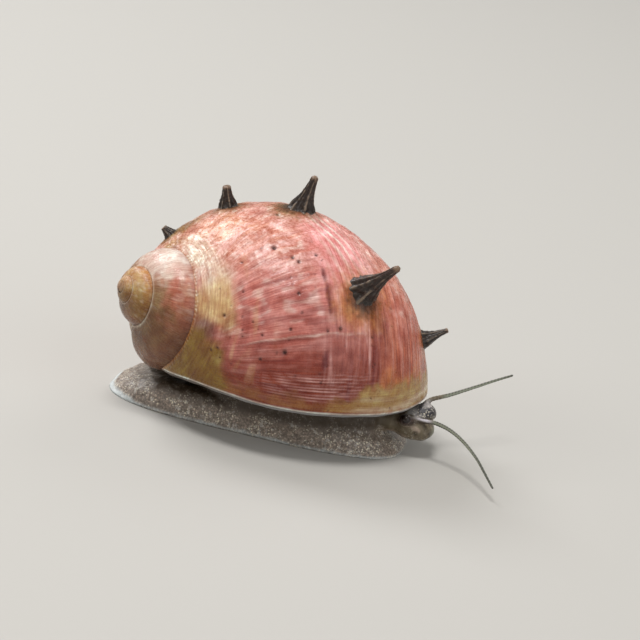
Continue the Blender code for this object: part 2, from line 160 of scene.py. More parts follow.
# The body whorl: the last full turn of the shell, thick limy shell with a thin horny coat. The
# callus rounds it out on the left, and it ends in the lip, which lies level and close over the
# foot. A snail adds shell only at the lip, so each whorl is the last one grown by a fixed ratio.
SHELL_TIP = np.array((-8.63, -4.87, 7.53)) * MM
AXIS_YAW = math.radians(38.4)
AXIS_DIP = math.radians(14.1)
TURN_RATIO = 2.137
LAST_TURN_FLARE = 0.117
LAST_TURN_ANGLE = math.radians(196)
OVAL_ALONG_AXIS = 14.25 * MM
OVAL_OFF_AXIS = -0.27 * MM
OVAL_LONG = 10.9 * MM
OVAL_SHORT = 10.2 * MM
OVAL_TILT = math.radians(21.7)
LIP_HEIGHT = 2.83 * MM
LEFT_HALF_LENGTH = 10.2 * MM
LEFT_HALF_WIDTH = 6.6 * MM
LEFT_FREE_SHARE = 0.9
LEFT_BLEND = 3.0 * MM
CALLUS_CENTRE = np.array((0.3, 1.0, 5.2)) * MM
CALLUS_SIZE = np.array((7.9, 5.35, 6.3)) * MM
CALLUS_BLEND = 0.09
MEAN_RADIUS = 8.5
FRONT_SIZE = 1.2
BODY_CENTRE = np.array((0.2 * MM, 0.2 * MM, LIP_HEIGHT))
BODY_GRID = 304
BODY_REACH = 15 * MM
NOISE_SLOPES = np.random.default_rng(5).normal(size=(4096, 3))
NOISE_SLOPES /= np.linalg.norm(NOISE_SLOPES, axis=1)[:, None]
# Each size of growth line: height, spacing along the growth and round the girth, noise seed
GROWTH_LINES = ((0.026, 9, 30, 12), (0.016, 3.3, 14, 13), (0.010, 1.3, 8, 14))
# Each size of grain: height all over, more height on worn shell, spacing, noise seed
SHELL_GRAINS = ((0, 0.030, 0.9, 16), (0.005, 0.014, 0.4, 17), (0.002, 0.007, 0.2, 18))
# Each step of the lip's edge: distance in from the outline, height above the lip's level
LIP_STEPS = ((0.015, -0.04), (0.07, -0.06), (0.13, -0.03), (0.17, 0.05), (0.2, 0.35))
# Each horn: turn and girth angle in degrees, length, root radius, forward lean
HORNS = (
    (-39, 60, 0.54, 0.43, -0.1),
    (-14, 81, 1.18, 0.60, 0.3),
    (7, 105, 2.10, 0.85, 0.2),
    (53, 114, 3.20, 0.95, 0.0),
    (61, 159, 1.50, 0.60, -0.2),
)
# Each pit that stands out: turn and girth angle in degrees, radius
PITS = (
    (12, 91, 0.17), (85, 83, 0.17), (81, 74, 0.10), (75, 84, 0.11), (92, 75, 0.12), (85, 67, 0.08),
    (70, 103, 0.15), (72, 98, 0.10), (70, 117, 0.09), (55, 126, 0.08), (56, 129, 0.08),
    (92, 98, 0.09), (36, 81, 0.19), (42, 87, 0.13), (44, 89, 0.13), (40, 97, 0.12), (59, 87, 0.13),
    (67, 88, 0.09), (76, 70, 0.09), (61, 66, 0.10), (75, 66, 0.09), (77, 59, 0.13), (98, 59, 0.12),
    (102, 57, 0.12), (43, 67, 0.10), (89, 55, 0.07), (73, 117, 0.07), (103, 61, 0.08),
)
SMALL_PIT_COUNT = 170
ROSE = (0.55, 0.165, 0.135)
PINK = (0.78, 0.43, 0.40)
SALMON = (0.57, 0.215, 0.155)
PALE = (0.86, 0.66, 0.58)
HOT_PINK = (0.80, 0.28, 0.28)
MAROON = (0.15, 0.018, 0.02)
RED_BROWN = (0.21, 0.03, 0.012)
CREAM = (0.80, 0.65, 0.52)
GOLDEN = (0.64, 0.42, 0.20)
PURPLE = (0.24, 0.11, 0.09)
OLIVE = (0.21, 0.105, 0.014)
OCHRE = (0.34, 0.155, 0.04)
BRONZE = (0.28, 0.10, 0.03)
AMBER = (0.36, 0.11, 0.015)
RUST = (0.63, 0.19, 0.115)
ORANGE = (0.50, 0.165, 0.04)
STRAW = (0.42, 0.25, 0.09)
PEACH = (0.72, 0.33, 0.16)
DARK_BROWN = (0.03, 0.011, 0.007)
PIT_COLOUR = (0.06, 0.012, 0.010)
LIP_PALE = (0.68, 0.64, 0.57)
# The stain round each horn: turn and girth angle from the horn to its middle, and its colour
HORN_STAINS = ((0, 0, OLIVE), (0, 0, OLIVE), (-1, -3, OLIVE), (3, -0.5, ORANGE), (0, 0, ORANGE))
# Each patch of colour: turn and girth angle in degrees, spread of each, strength, colour
PATCHES = (
    (8, 68, 16, 10, 0.5, PEACH),
    (-34, 64, 20, 9, 0.85, OLIVE),
    (38, 107, 22, 13, 0.6, HOT_PINK),
    (100, 49, 34, 3.5, 0.7, OCHRE),
    (61, 107, 6, 6, 0.8, ORANGE),
    (64, 118, 4, 4, 0.6, ORANGE),
    (-18, 50, 15, 4.5, 0.8, OCHRE),
    (78, 60, 9, 4, 0.6, STRAW),
    (142, 48, 22, 9, 0.6, DARK_BROWN),
    (-165, 54, 26, 11, 0.95, OLIVE),
    (70, 52, 16, 5, 0.9, GOLDEN),
    (20, 53, 24, 6, 0.9, CREAM),
    (50, 55, 16, 7, 0.6, CREAM),
    (66, 57, 14, 5, 0.9, GOLDEN),
    (91, 52, 8, 5, 0.9, PURPLE),
    (49, 98, 3.5, 0.8, 0.9, MAROON),
    (57, 98.5, 4, 0.9, 0.9, MAROON),
    (62, 99, 3, 0.8, 0.9, MAROON),
    (83, 98, 4, 1.1, 0.9, MAROON),
)

axis_into = np.array((
    math.cos(AXIS_DIP) * math.cos(AXIS_YAW),
    math.cos(AXIS_DIP) * math.sin(AXIS_YAW),
    -math.sin(AXIS_DIP),
))
axis_up = np.array((0, 0, 1)) - axis_into * axis_into[2]
axis_up /= np.linalg.norm(axis_up)
axis_side = np.cross(axis_into, axis_up)


def ease(x):
    """Smooth step from 0 to 1."""
    x = np.clip(x, 0, 1)
    return x * x * (3 - 2 * x)


def settle(low, high, steps, onward):
    """Halve the ranges between two arrays, moving on where the test says so."""
    for _ in range(steps):
        middle = (low + high) / 2
        ahead = onward(middle)
        low = np.where(ahead, middle, low)
        high = np.where(ahead, high, middle)
    return high


def whorl_scale(turn):
    """Size of the whorl at a turn angle, along the axis and away from it."""
    size = TURN_RATIO ** ((turn - math.pi) / math.tau)
    return size, size * (1 + LAST_TURN_FLARE * ease((turn + math.pi) / math.tau))


def mark_size(turn):
    """Size of the shell's marks at a turn in degrees, which grow with the whorl."""
    return TURN_RATIO ** (turn / 360) * FRONT_SIZE


def oval(girth):
    """Whorl profile: distance along the axis and off it, from the spire side round."""
    a = -OVAL_LONG * np.cos(girth)
    b = OVAL_SHORT * np.sin(girth)
    along = OVAL_ALONG_AXIS + a * math.cos(OVAL_TILT) - b * math.sin(OVAL_TILT)
    off = OVAL_OFF_AXIS + a * math.sin(OVAL_TILT) + b * math.cos(OVAL_TILT)
    return along, off


def oval_coordinates(turn, along, off):
    """Place of a point in the profile of a turn, where 1 is the oval's edge."""
    along_scale, off_scale = whorl_scale(turn)
    a = along / along_scale - OVAL_ALONG_AXIS
    b = off / off_scale - OVAL_OFF_AXIS
    x = (a * math.cos(OVAL_TILT) + b * math.sin(OVAL_TILT)) / OVAL_LONG
    y = (b * math.cos(OVAL_TILT) - a * math.sin(OVAL_TILT)) / OVAL_SHORT
    return x, y


def suture_angle(turn):
    """Girth angle where the whorl leaves the whorl before it."""
    along_scale, off_scale = whorl_scale(turn)

    def inside(girth):
        along, off = oval(girth)
        x, y = oval_coordinates(turn - math.tau, along * along_scale, off * off_scale)
        return x * x + y * y < 1

    low, high = (np.full_like(turn, math.radians(angle)) for angle in (26, 120))
    return settle(low, high, 26, inside)


def draw_left(points, back=False):
    """Draw the left side inside the oval that bounds the shell in plan, or back out of it."""
    reach = np.hypot(points[..., 0] / LEFT_HALF_LENGTH, points[..., 1] / LEFT_HALF_WIDTH)
    room = 1 - LEFT_FREE_SHARE
    beyond = (reach - LEFT_FREE_SHARE) / room
    if back:
        drawn = LEFT_FREE_SHARE + room * np.arctanh(np.clip(beyond, 0, 0.995))
        drawn = drawn + 20 * np.maximum(reach - 0.9995, 0)
    else:
        drawn = LEFT_FREE_SHARE + room * np.tanh(beyond)
    drawn = np.where(reach > LEFT_FREE_SHARE, drawn, reach)
    share = 1 + (drawn / np.maximum(reach, 1e-9) - 1) * ease(points[..., 1] / LEFT_BLEND)
    return points * np.stack((share, share, np.ones_like(share)), -1)


def round_out(points):
    """Swell the surface to the callus where it lies inside it, with a soft edge."""
    arm = (points - CALLUS_CENTRE) / CALLUS_SIZE
    reach = np.linalg.norm(arm, axis=-1)
    share = np.clip(0.5 + (reach - 1) / (2 * CALLUS_BLEND), 0, 1)
    swollen = 1 + (reach - 1) * share + CALLUS_BLEND * share * (1 - share)
    return CALLUS_CENTRE + (points - CALLUS_CENTRE) * (swollen / reach)[..., None]


def winding(turn, girth):
    """Smooth outer surface of the shell, as points, at turn and girth angles."""
    along, off = oval(girth)
    along_scale, off_scale = whorl_scale(turn)
    outward = np.cos(turn)[..., None] * axis_up + np.sin(turn)[..., None] * axis_side
    along = (along * along_scale)[..., None]
    off = (off * off_scale)[..., None]
    return round_out(draw_left(SHELL_TIP + along * axis_into + off * outward))


def shell_place(turn, girth, on=0.0, across=0.0):
    """Point on the smooth shell at a turn and a girth in degrees, and radians on from them."""
    return winding(np.array(math.radians(turn) + on), np.array(math.radians(girth) + across))


def winding_place(points):
    """Turn angle within the last turn, distance along the axis and off it."""
    arm = draw_left(points, back=True) - SHELL_TIP
    side, rise = arm @ axis_side, arm @ axis_up
    return np.arctan2(side, rise), arm @ axis_into, np.hypot(side, rise)


def body_reach(points):
    """Distance from the middle of the body whorl in shares, 1 on its surface."""
    turn, along, off = winding_place(points)
    reach = np.hypot(*oval_coordinates(turn, along, off))
    end = np.hypot(*oval_coordinates(turn + math.tau, along, off))
    reach = np.where(turn + math.tau < LAST_TURN_ANGLE, np.minimum(reach, end), reach)
    callus = np.linalg.norm((points - CALLUS_CENTRE) / CALLUS_SIZE, axis=-1)
    share = np.clip(0.5 + (callus - reach) / (2 * CALLUS_BLEND), 0, 1)
    return callus + (reach - callus) * share - CALLUS_BLEND * share * (1 - share)


def growth_left(turn, along, off):
    """Turn angle that a point still has to wind on before it reaches the lip's level."""
    def above(ahead):
        growth = TURN_RATIO ** ((ahead - turn) / math.tau)
        rise = along * axis_into[2] + off * axis_up[2] * np.cos(ahead)
        return SHELL_TIP[2] + growth * rise > LIP_HEIGHT

    low, high = np.maximum(turn, math.radians(20)), np.full_like(turn, math.radians(320))
    return settle(low, high, 24, above) - turn


def read_shell(points):
    """For points on the body whorl: turn, girth, growth left and suture, in degrees, and height."""
    turn, along, off = winding_place(points)
    x, y = oval_coordinates(turn, along, off)
    growth = growth_left(turn, along, off)
    height = (points[..., 2] - LIP_HEIGHT) / MM
    girth = np.degrees(np.arctan2(y, -x))
    girth = np.where(girth < -60, girth + 360, girth)
    turn = np.degrees(turn)
    return turn, girth, np.degrees(growth), np.degrees(suture_angle(np.radians(turn))), height


def mottle(seed, x, y, z=0.5):
    """Smooth random pattern from -1 to 1, one unit from blotch to blotch."""
    place = np.stack(np.broadcast_arrays(x, y, z), -1)
    base = np.floor(place).astype(np.int64)
    offset = place - base
    blend = offset ** 3 * (offset * (offset * 6 - 15) + 10)
    total = 0
    for corner in np.ndindex(2, 2, 2):
        cell = base + corner
        mixed = cell[..., 0] * 73856093 ^ cell[..., 1] * 19349663 ^ cell[..., 2] * 83492791
        slope = NOISE_SLOPES[((mixed ^ seed * 2654435761) >> 6) & 4095]
        weight = np.where(corner, blend, 1 - blend).prod(-1)
        total = total + ((offset - corner) * slope).sum(-1) * weight
    return np.clip(total * 2, -1, 1)


def patch(turn, girth, turn_middle, girth_middle, turn_spread, girth_spread):
    """A soft round patch, 1 in its middle."""
    x = (turn - turn_middle) / turn_spread
    y = (girth - girth_middle) / girth_spread
    return np.exp(-x * x - y * y)


def pit_spots(turn, girth, pits, stretch):
    """Radius of each pit and a soft spot over it, stretched along the turn."""
    size = mark_size(turn)
    for pit_turn, pit_girth, radius in pits:
        spread = math.degrees(radius / MEAN_RADIUS) / size
        yield radius, patch(turn, girth, pit_turn, pit_girth, spread * stretch, spread)


def growth_pattern(turn, girth, growth):
    """Wandering growth lines, the share of spiral cords, and the share of worn upper shell."""
    wander = mottle(11, growth / 14, girth / 9)
    beside = ease((66 - girth) / 10)
    cords = ease((girth - 92) / 16) * ease((growth - 5) / 8)
    upper = ease((66 - turn) / 40) * (1 - 0.75 * patch(turn, girth, 30, 109, 26, 12))
    return wander, growth + 1.6 * wander, np.maximum(cords, beside), upper


def growth_marks(turn, girth, growth, suture, wander):
    """Marks that are both raised and tinted: folds, rims by the lip and beads by the suture."""
    folds = patch(turn, girth, 28, 109, 20, 7)
    fold_wave = np.sin((girth - turn * 0.33 + 1.2 * wander) * 1.4)
    rims = ease((18 - growth) / 4) * ease((growth - 3) / 2) * patch(turn, girth, 93, 98, 30, 19)
    rim_wave = np.sin((growth + 0.5 * wander) * 4.6)
    beads = np.exp(-((girth - suture - 1.0) / 0.6) ** 2)
    bead_wave = np.sin(turn * 1.75 + 3 * wander) * (0.5 + 0.5 * mottle(25, turn / 5, 0.5))
    return folds, fold_wave, rims, rim_wave, beads, bead_wave


def shell_relief(points, turn, girth, growth, suture, pits):
    """Height of growth lines, cords, grains and pits above the smooth shell, in millimetres."""
    wander, lines, cords, upper = growth_pattern(turn, girth, growth)
    folds, fold_wave, rims, rim_wave, beads, bead_wave = growth_marks(
        turn, girth, growth, suture, wander,
    )
    relief = np.zeros(len(turn))
    for height, along, around, seed in GROWTH_LINES:
        relief += height * (1 - 0.8 * cords) * mottle(seed, lines / along, girth / around)
    relief += (0.004 + 0.022 * cords) * mottle(15, growth / 22, girth / 1.7)
    relief += 0.035 * folds * fold_wave
    for all_over, on_worn, spacing, seed in SHELL_GRAINS:
        relief += (all_over + on_worn * upper) * mottle(seed, *(points / MM / spacing).T)
    ridge = growth + wander
    rest = np.exp(-((ridge - 31.5) / 0.8) ** 2) - 0.8 * np.exp(-((ridge - 29.3) / 1.2) ** 2)
    relief += 0.035 * rest * patch(turn, girth, 78, 88, 26, 22)
    relief += 0.026 * rims * rim_wave
    relief += 0.045 * beads * bead_wave
    for radius, spot in pit_spots(turn, girth, pits, 1.25):
        relief -= 0.6 * radius * spot
    return relief * np.clip(mark_size(turn), 0.25, 1)


def shell_layers(turn, girth, growth, suture, height, pits):
    """Colours of the shell and their weights: growth lines, patches, bands, beads and pits."""
    wander, lines, cords, upper = growth_pattern(turn, girth, growth)
    folds, fold_wave, rims, rim_wave, beads, bead_wave = growth_marks(
        turn, girth, growth, suture, wander,
    )
    blotch = 0.6 * mottle(20, growth / 11, girth / 9) + 0.4 * mottle(27, growth / 4.5, girth / 4)
    fan = (girth - turn * 0.1) / 1.8
    threads = 0.7 * mottle(28, growth / 34, fan) + 0.45 * mottle(29, growth / 17, fan * 2.4)
    # The older shell on top is salmon and pink, and the newer shell by the lip red-brown
    high = ease((58 - turn + 8 * blotch) / 28)
    yield SALMON, high
    yield PINK, (0.2 + 0.45 * mottle(21, lines / 8, girth / 11)) * (0.3 + 0.7 * high)
    mottled = 0.5 * mottle(39, turn / 6, girth / 4) + 0.6 * mottle(40, lines / 2, girth / 7)
    yield PALE, 0.35 * ease(mottled * 2.2 - 0.2) * ((1 - high) * ease((growth - 30) / 12))
    yield RED_BROWN, ease((45 - lines + 4 * blotch) / 38)
    yield MAROON, 0.22 * ease(mottle(22, lines / 5, girth / 7) * 1.6 - 0.3) * (1 - high)
    right = ease((girth - 118 + 4 * blotch) / 11) * ease((turn - 15) / 30)
    yield RUST, right * (0.6 + 0.5 * blotch)
    yield HOT_PINK, 0.3 * (ease((girth - 92) / 10) * ease((72 - turn) / 15)) * (1 - right)
    yield ORANGE, 0.9 * right * ease((20 - growth + 6 * blotch) / 12)
    for *place, strength, colour in PATCHES:
        yield colour, strength * ease(patch(turn, girth, *place) * (1.25 + 0.6 * blotch))
    olive = ease((63 + (turn - 95) * 0.35 - girth + 3 * blotch) / 6)
    yield OLIVE, 0.95 * olive * ease((turn - 88 + 4 * blotch) / 12)
    # Spiral threads on the right, and soft bands beside the suture
    thread_side = ease((girth - 95) / 8) * ease((turn - 22) / 35)
    yield MAROON, 0.62 * thread_side * ease(threads * 2.6 - 0.55) * (1 - 0.35 * right)
    pale_thread = ease(-threads * 2.4 - 0.3) * ease((growth - 8) / 12) * (1 - 0.5 * right)
    yield PINK, 0.6 * thread_side * pale_thread
    soft = mottle(26, turn / 16, (girth - suture) / 3)
    soft_side = ease((82 - girth) / 10) * (1 - high) * ease((115 - turn) / 20)
    yield GOLDEN, 0.25 * soft_side * ease(soft * 2 - 0.2)
    yield MAROON, 0.25 * soft_side * ease(-soft * 2 - 0.2)
    # Worn flecks, streaks along the growth lines, folds and rims
    fine = mottle(24, lines / 2.2, girth / 3.4)
    patchy = 0.5 + 0.5 * mottle(34, turn / 9, girth / 6)
    yield PALE, 0.6 * upper * patchy * ease(fine * 2.2 - 0.4)
    yield AMBER, 0.35 * upper * (1 - patchy) * ease(-fine * 2.2 - 0.3)
    streak = mottle(35, lines / 2.6, girth / 16) * ease((girth - 62) / 10)
    yield PINK, (0.12 + 0.38 * high) * (1 - cords) * ease(streak * 2 - 0.2)
    yield MAROON, (0.35 - 0.2 * high) * (1 - cords) * ease(-streak * 2 - 0.3)
    yield HOT_PINK, 0.8 * folds * ease(-fold_wave * 1.6)
    yield PALE, 0.95 * folds * ease(fold_wave * 1.8 - 0.4)
    rest = np.exp(-((growth + wander - 31.5) / 0.45) ** 2) * patch(turn, girth, 78, 88, 20, 20)
    yield PALE, rest * (0.55 + 0.35 * mottle(36, girth / 6, 0.5))
    yield PINK, 0.5 * rims * ease(rim_wave * 1.2)
    # The horny band over the lip, the pale edge of the lip, the suture and the pits
    front = ease((girth - 106) / 14)
    ragged = 0.5 * blotch + 0.35 * mottle(38, turn / 3, girth / 3)
    band = ease((height - 0.05) / 0.15) * ease(1.15 + 0.9 * front - height + ragged)
    yield BRONZE, 0.85 * band * (1 - olive)
    yield OCHRE, 0.9 * band * ease((girth - 98) / 12)
    yield STRAW, 0.9 * band * front
    curved = mottle(37, height * 2.2 + 0.3 * wander, girth / 40)
    yield CREAM, 0.4 * band * front * ease(curved * 2 - 0.1)
    yield OCHRE, 0.5 * band * front * ease(-curved * 2 - 0.1)
    yield LIP_PALE, 0.85 * ease((0.1 - height) / 0.1)
    beads = beads * (1 - 0.8 * ease((turn - 70) / 22))
    yield AMBER, 0.6 * np.exp(-((girth - suture - 0.5) / 0.6) ** 2)
    yield CREAM, 0.8 * beads * ease(bead_wave * 2.5 - 0.2)
    yield DARK_BROWN, 0.4 * beads * ease(-bead_wave * 2)
    for radius, spot in pit_spots(turn, girth, pits, 1.15):
        yield PIT_COLOUR, min(1.4, 12 * radius) * spot


def stain_layers(points, girth, growth):
    """Colours and weights of the stain round each horn, with a dark ring at the horn's foot."""
    for (turn_at, girth_at, length, radius, _), (on, across, colour) in zip(HORNS, HORN_STAINS):
        reach = np.linalg.norm(points - shell_place(turn_at + on, girth_at + across), axis=1) / MM
        seed = 30 + round(length * 10)
        ragged = reach * (1 + 0.25 * mottle(seed, growth / 1.5, girth / 1.5))
        yield colour, 0.9 * np.exp(-(ragged / (1.8 * radius)) ** 3)
        yield DARK_BROWN, 0.95 * np.exp(-(ragged / (1.12 * radius)) ** 4)


def paint(tint, layers):
    """Lay colours over a tint one after the other, each by its weight at every point."""
    for colour, weight in layers:
        tint = tint + (np.array(colour) - tint) * np.clip(weight, 0, 1)[:, None]
    return tint


def raise_lip(points):
    """Lift the lip off its level, most on the right, and dip it under the spire."""
    x, y = points[:, 0] / MM, points[:, 1] / MM
    arch = 0.14 * ease((9 - x) / 3) + 0.12 * np.exp(-((x + 1.5) / 2.5) ** 2)
    lift = 0.18 + ease((1.5 - y) / 3) * (arch - 0.42 * ease((-2.6 - x) / 4.0))
    low = ease((3.6 - (points[:, 2] - LIP_HEIGHT) / MM) / 3.6)
    return points + np.array((0, 0, MM)) * (lift * low)[:, None]


def give_data(mesh, name, kind, values):
    """Store values on the points of a mesh, for its material."""
    if kind == "FLOAT_COLOR":
        values = np.concatenate((np.clip(values, 0, 1), np.ones((len(values), 1))), 1)
    field = {"FLOAT_COLOR": "color", "FLOAT_VECTOR": "vector", "FLOAT": "value"}[kind]
    layer = mesh.attributes.new(name, kind, "POINT")
    layer.data.foreach_set(field, values.astype(np.float32).ravel())


def get_points(mesh, normals=False):
    """Places of the points of a mesh, or their normals."""
    values = np.empty(len(mesh.vertices) * 3)
    source, field = (mesh.vertex_normals, "vector") if normals else (mesh.vertices, "co")
    source.foreach_get(field, values)
    return values.reshape(-1, 3)


def set_points(mesh, points):
    """Move the points of a mesh."""
    mesh.vertices.foreach_set("co", points.astype(np.float32).ravel())
    mesh.update()


def select_only(*shapes):
    """Select these objects alone, with the first one active."""
    bpy.ops.object.select_all(action="DESELECT")
    for shape in shapes:
        shape.select_set(True)
    bpy.context.view_layer.objects.active = shapes[0]


def smooth(shape):
    """Shade an object smooth."""
    select_only(shape)
    bpy.ops.object.shade_smooth()


def start_shape(name, primitive, **settings):
    """A new primitive, alone in the selection."""
    bpy.ops.object.select_all(action="DESELECT")
    getattr(bpy.ops.mesh, primitive)(**settings)
    made = bpy.context.object
    made.name = made.data.name = name
    return made


def noise_on(tree, place, scale, detail, roughness=0.5):
    """Noise at a place, as a socket."""
    inputs = {"Vector": place, "Scale": scale, "Detail": detail, "Roughness": roughness}
    return shade(tree, "TexNoise", inputs).outputs["Fac"]


def ramp(tree, value, low, high, top=1.0, bottom=0.0):
    """A value spread from bottom, at low, to top, at high."""
    inputs = {"Value": value, "From Min": low, "From Max": high, "To Min": bottom, "To Max": top}
    return shade(tree, "MapRange", inputs).outputs["Result"]


def product(tree, a, b):
    """Two values multiplied."""
    return shade(tree, "Math", {0: a, 1: b}, operation="MULTIPLY").outputs["Value"]


def overlay(tree, colour, weight, layer, blend="MULTIPLY"):
    """A colour laid over another by a weight."""
    inputs = {0: weight, 6: colour, 7: (*layer, 1)}
    return shade(tree, "Mix", inputs, data_type="RGBA", blend_type=blend).outputs[2]


def attribute(tree, name, output):
    """Values stored on the points."""
    return shade(tree, "Attribute", {}, attribute_name=name).outputs[output]


pit_maker = random.Random(3)
shell_pits = list(PITS)
for _ in range(SMALL_PIT_COUNT):
    radius = pit_maker.uniform(0.035, 0.08)
    shell_pits.append((pit_maker.uniform(-150, 105), pit_maker.uniform(56, 165), radius))

# A square grid is wrapped over the upper half of a ball, then each point is moved along its
# way from the middle until it lies on the whorl
body_whorl = start_shape(
    "body_whorl", "primitive_grid_add", x_subdivisions=BODY_GRID, y_subdivisions=BODY_GRID, size=2,
)
mesh = body_whorl.data
a, b = get_points(mesh)[:, :2].T
wide = np.abs(a) > np.abs(b)
spread = np.where(wide, a, b)
slope = np.where(wide, b, a) / np.where(spread == 0, 1, spread) * math.pi / 4
angle = np.where(wide, slope, math.pi / 2 - slope)
flat = spread * np.sqrt(2 - spread * spread)
ways = np.stack((flat * np.cos(angle), flat * np.sin(angle), 1 - spread * spread), -1)
reach = settle(
    np.zeros(len(ways)), np.full(len(ways), BODY_REACH), 24,
    lambda reach: body_reach(BODY_CENTRE + ways * reach[:, None]) < 1,
)
points = BODY_CENTRE + ways * reach[:, None]
set_points(mesh, points)

turn, girth, growth, suture, height = read_shell(points)
relief = shell_relief(points, turn, girth, growth, suture, shell_pits)
for turn_at, girth_at, length, radius, lean in HORNS:
    reach = np.linalg.norm(points - shell_place(turn_at, girth_at), axis=1) / MM
    relief += 0.2 * radius * np.exp(-(reach / (1.3 * radius)) ** 2)
points = points + get_points(mesh, normals=True) * (relief * MM * ease(height / 0.15))[:, None]
set_points(mesh, points)

rim = np.flatnonzero(np.abs(spread) > 1 - 1e-5)
rim = rim[np.argsort(np.arctan2(ways[rim, 1], ways[rim, 0]))]
lip_line = points[rim]
ahead = np.roll(lip_line, -6, 0) - np.roll(lip_line, 6, 0)
lip_out = np.stack((ahead[:, 1], -ahead[:, 0], np.zeros(len(ahead))), -1)
lip_out /= np.linalg.norm(lip_out, axis=1)[:, None]
work = bmesh.new()
work.from_mesh(mesh)
work.verts.ensure_lookup_table()
last = [work.verts[i] for i in rim]
for inward, rise in LIP_STEPS:
    ring = [
        work.verts.new(Vector(point - out * inward * MM + np.array((0, 0, rise * MM))))
        for point, out in zip(lip_line, lip_out)
    ]
    for i in range(len(ring)):
        work.faces.new((last[i - 1], last[i], ring[i], ring[i - 1]))
    last = ring
work.faces.new(last)
bmesh.ops.recalc_face_normals(work, faces=work.faces)
work.to_mesh(mesh)
work.free()
mesh.update()
smooth(body_whorl)

points = get_points(mesh)
turn, girth, growth, suture, height = read_shell(points)
tint = np.tile(ROSE, (len(points), 1))
tint = paint(tint, shell_layers(turn, girth, growth, suture, height, shell_pits))
give_data(mesh, "tint", "FLOAT_COLOR", paint(tint, stain_layers(points, girth, growth)))
cords, upper = growth_pattern(turn, girth, growth)[2:]
give_data(mesh, "place", "FLOAT_VECTOR", np.stack((growth, girth, cords), -1))
give_data(mesh, "worn", "FLOAT", upper)
set_points(mesh, raise_lip(points))
lip_line = raise_lip(lip_line)

shell_material, tree, shader = new_material("nerite_shell", 0.36)
stored_place = attribute(tree, "place", "Vector")
worn = attribute(tree, "worn", "Fac")
object_place = shade(tree, "TexCoord", {}).outputs["Object"]
along_lines, along_cords = (
    shade(tree, "Mapping", {"Vector": stored_place, "Scale": scale}).outputs["Vector"]
    for scale in ((1.5, 0.08, 0.0), (0.07, 1.3, 0.0))
)
streaks = shade(tree, "Mix", {
    0: shade(tree, "SeparateXYZ", {"Vector": stored_place}).outputs["Z"],
    2: noise_on(tree, along_lines, 1.0, 3.0, 0.6),
    3: noise_on(tree, along_cords, 1.0, 3.0, 0.6),
}, data_type="FLOAT").outputs[0]
clouds = noise_on(tree, object_place, 1300.0, 3.0, 0.55)
grains = noise_on(tree, object_place, 6500.0, 3.0, 0.6)
# On the worn upper shell, the grains' raised spots are lightened as painted glints and their
# hollows darkened as painted shade.
grain_glints = product(tree, ramp(tree, grains, 0.54, 0.66), worn)
grain_shade = product(tree, ramp(tree, grains, 0.46, 0.34), worn)
colour = attribute(tree, "tint", "Color")
for weight, layer in (
    (ramp(tree, streaks, 0.5, 0.75), (1.3, 1.5, 1.5)),
    (ramp(tree, streaks, 0.5, 0.28, 0.8), (0.66, 0.48, 0.45)),
    (ramp(tree, clouds, 0.5, 0.75), (1.3, 1.65, 1.75)),
    (ramp(tree, clouds, 0.5, 0.28, 0.8), (0.75, 0.55, 0.5)),
    (grain_glints, (1.25, 1.5, 1.6)),
    (grain_shade, (0.8, 0.6, 0.5)),
):
    colour = overlay(tree, colour, weight, layer)
streak_bump = shade(tree, "Bump", {"Height": streaks, "Distance": 0.04 * MM, "Strength": 0.5})
grain_bump = shade(tree, "Bump", {
    "Height": grains, "Distance": 0.09 * MM, "Strength": ramp(tree, worn, 0.0, 1.0, 0.22, 0.05),
    "Normal": streak_bump.outputs["Normal"],
})
tree.links.new(colour, shader.inputs["Base Color"])
tree.links.new(ramp(tree, grains, 0.3, 0.7, 0.34, 0.22), shader.inputs["Roughness"])
tree.links.new(grain_bump.outputs["Normal"], shader.inputs["Normal"])
shader.inputs["Specular IOR Level"].default_value = 0.32
shader.inputs["Coat Weight"].default_value = 0.15
shader.inputs["Coat Roughness"].default_value = 0.15
body_whorl.data.materials.append(shell_material)
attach(body_whorl, "root")
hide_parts("shell_body_whorl")


# The spire: the earlier whorls, which stand out on the snail's rear right, each one wound half
# over the next. Their coat is worn, so they are glossy, paler at the tip and red-brown beside
# the body whorl.
SPIRE_TURNS = 3.05
SPIRE_END = math.radians(-172)
SPIRE_STEPS = 340
SPIRE_ROWS = 42
SPIRE_SUNK = (math.radians(3.0), math.radians(5.0))
SPIRE_BULGE = 0.42
END_SUNK = 0.06
TIP_SQUASH = 0.25 * MM
TIP_REACH = 1.4 * MM
TIP_RISE = 0.02
TAN = (0.46, 0.25, 0.10)
TERRACOTTA = (0.52, 0.18, 0.12)
SAND = (0.68, 0.53, 0.46)
DUSK = (0.27, 0.155, 0.07)
BROWN = (0.125, 0.05, 0.012)


def cover_angle(turn):
    """Girth angle where the next whorl covers this one."""
    along_scale, off_scale = whorl_scale(turn + math.tau)
    along, off = oval(suture_angle(turn + math.tau))
    x, y = oval_coordinates(turn, along * along_scale, off * off_scale)
    return np.arctan2(y, -x)


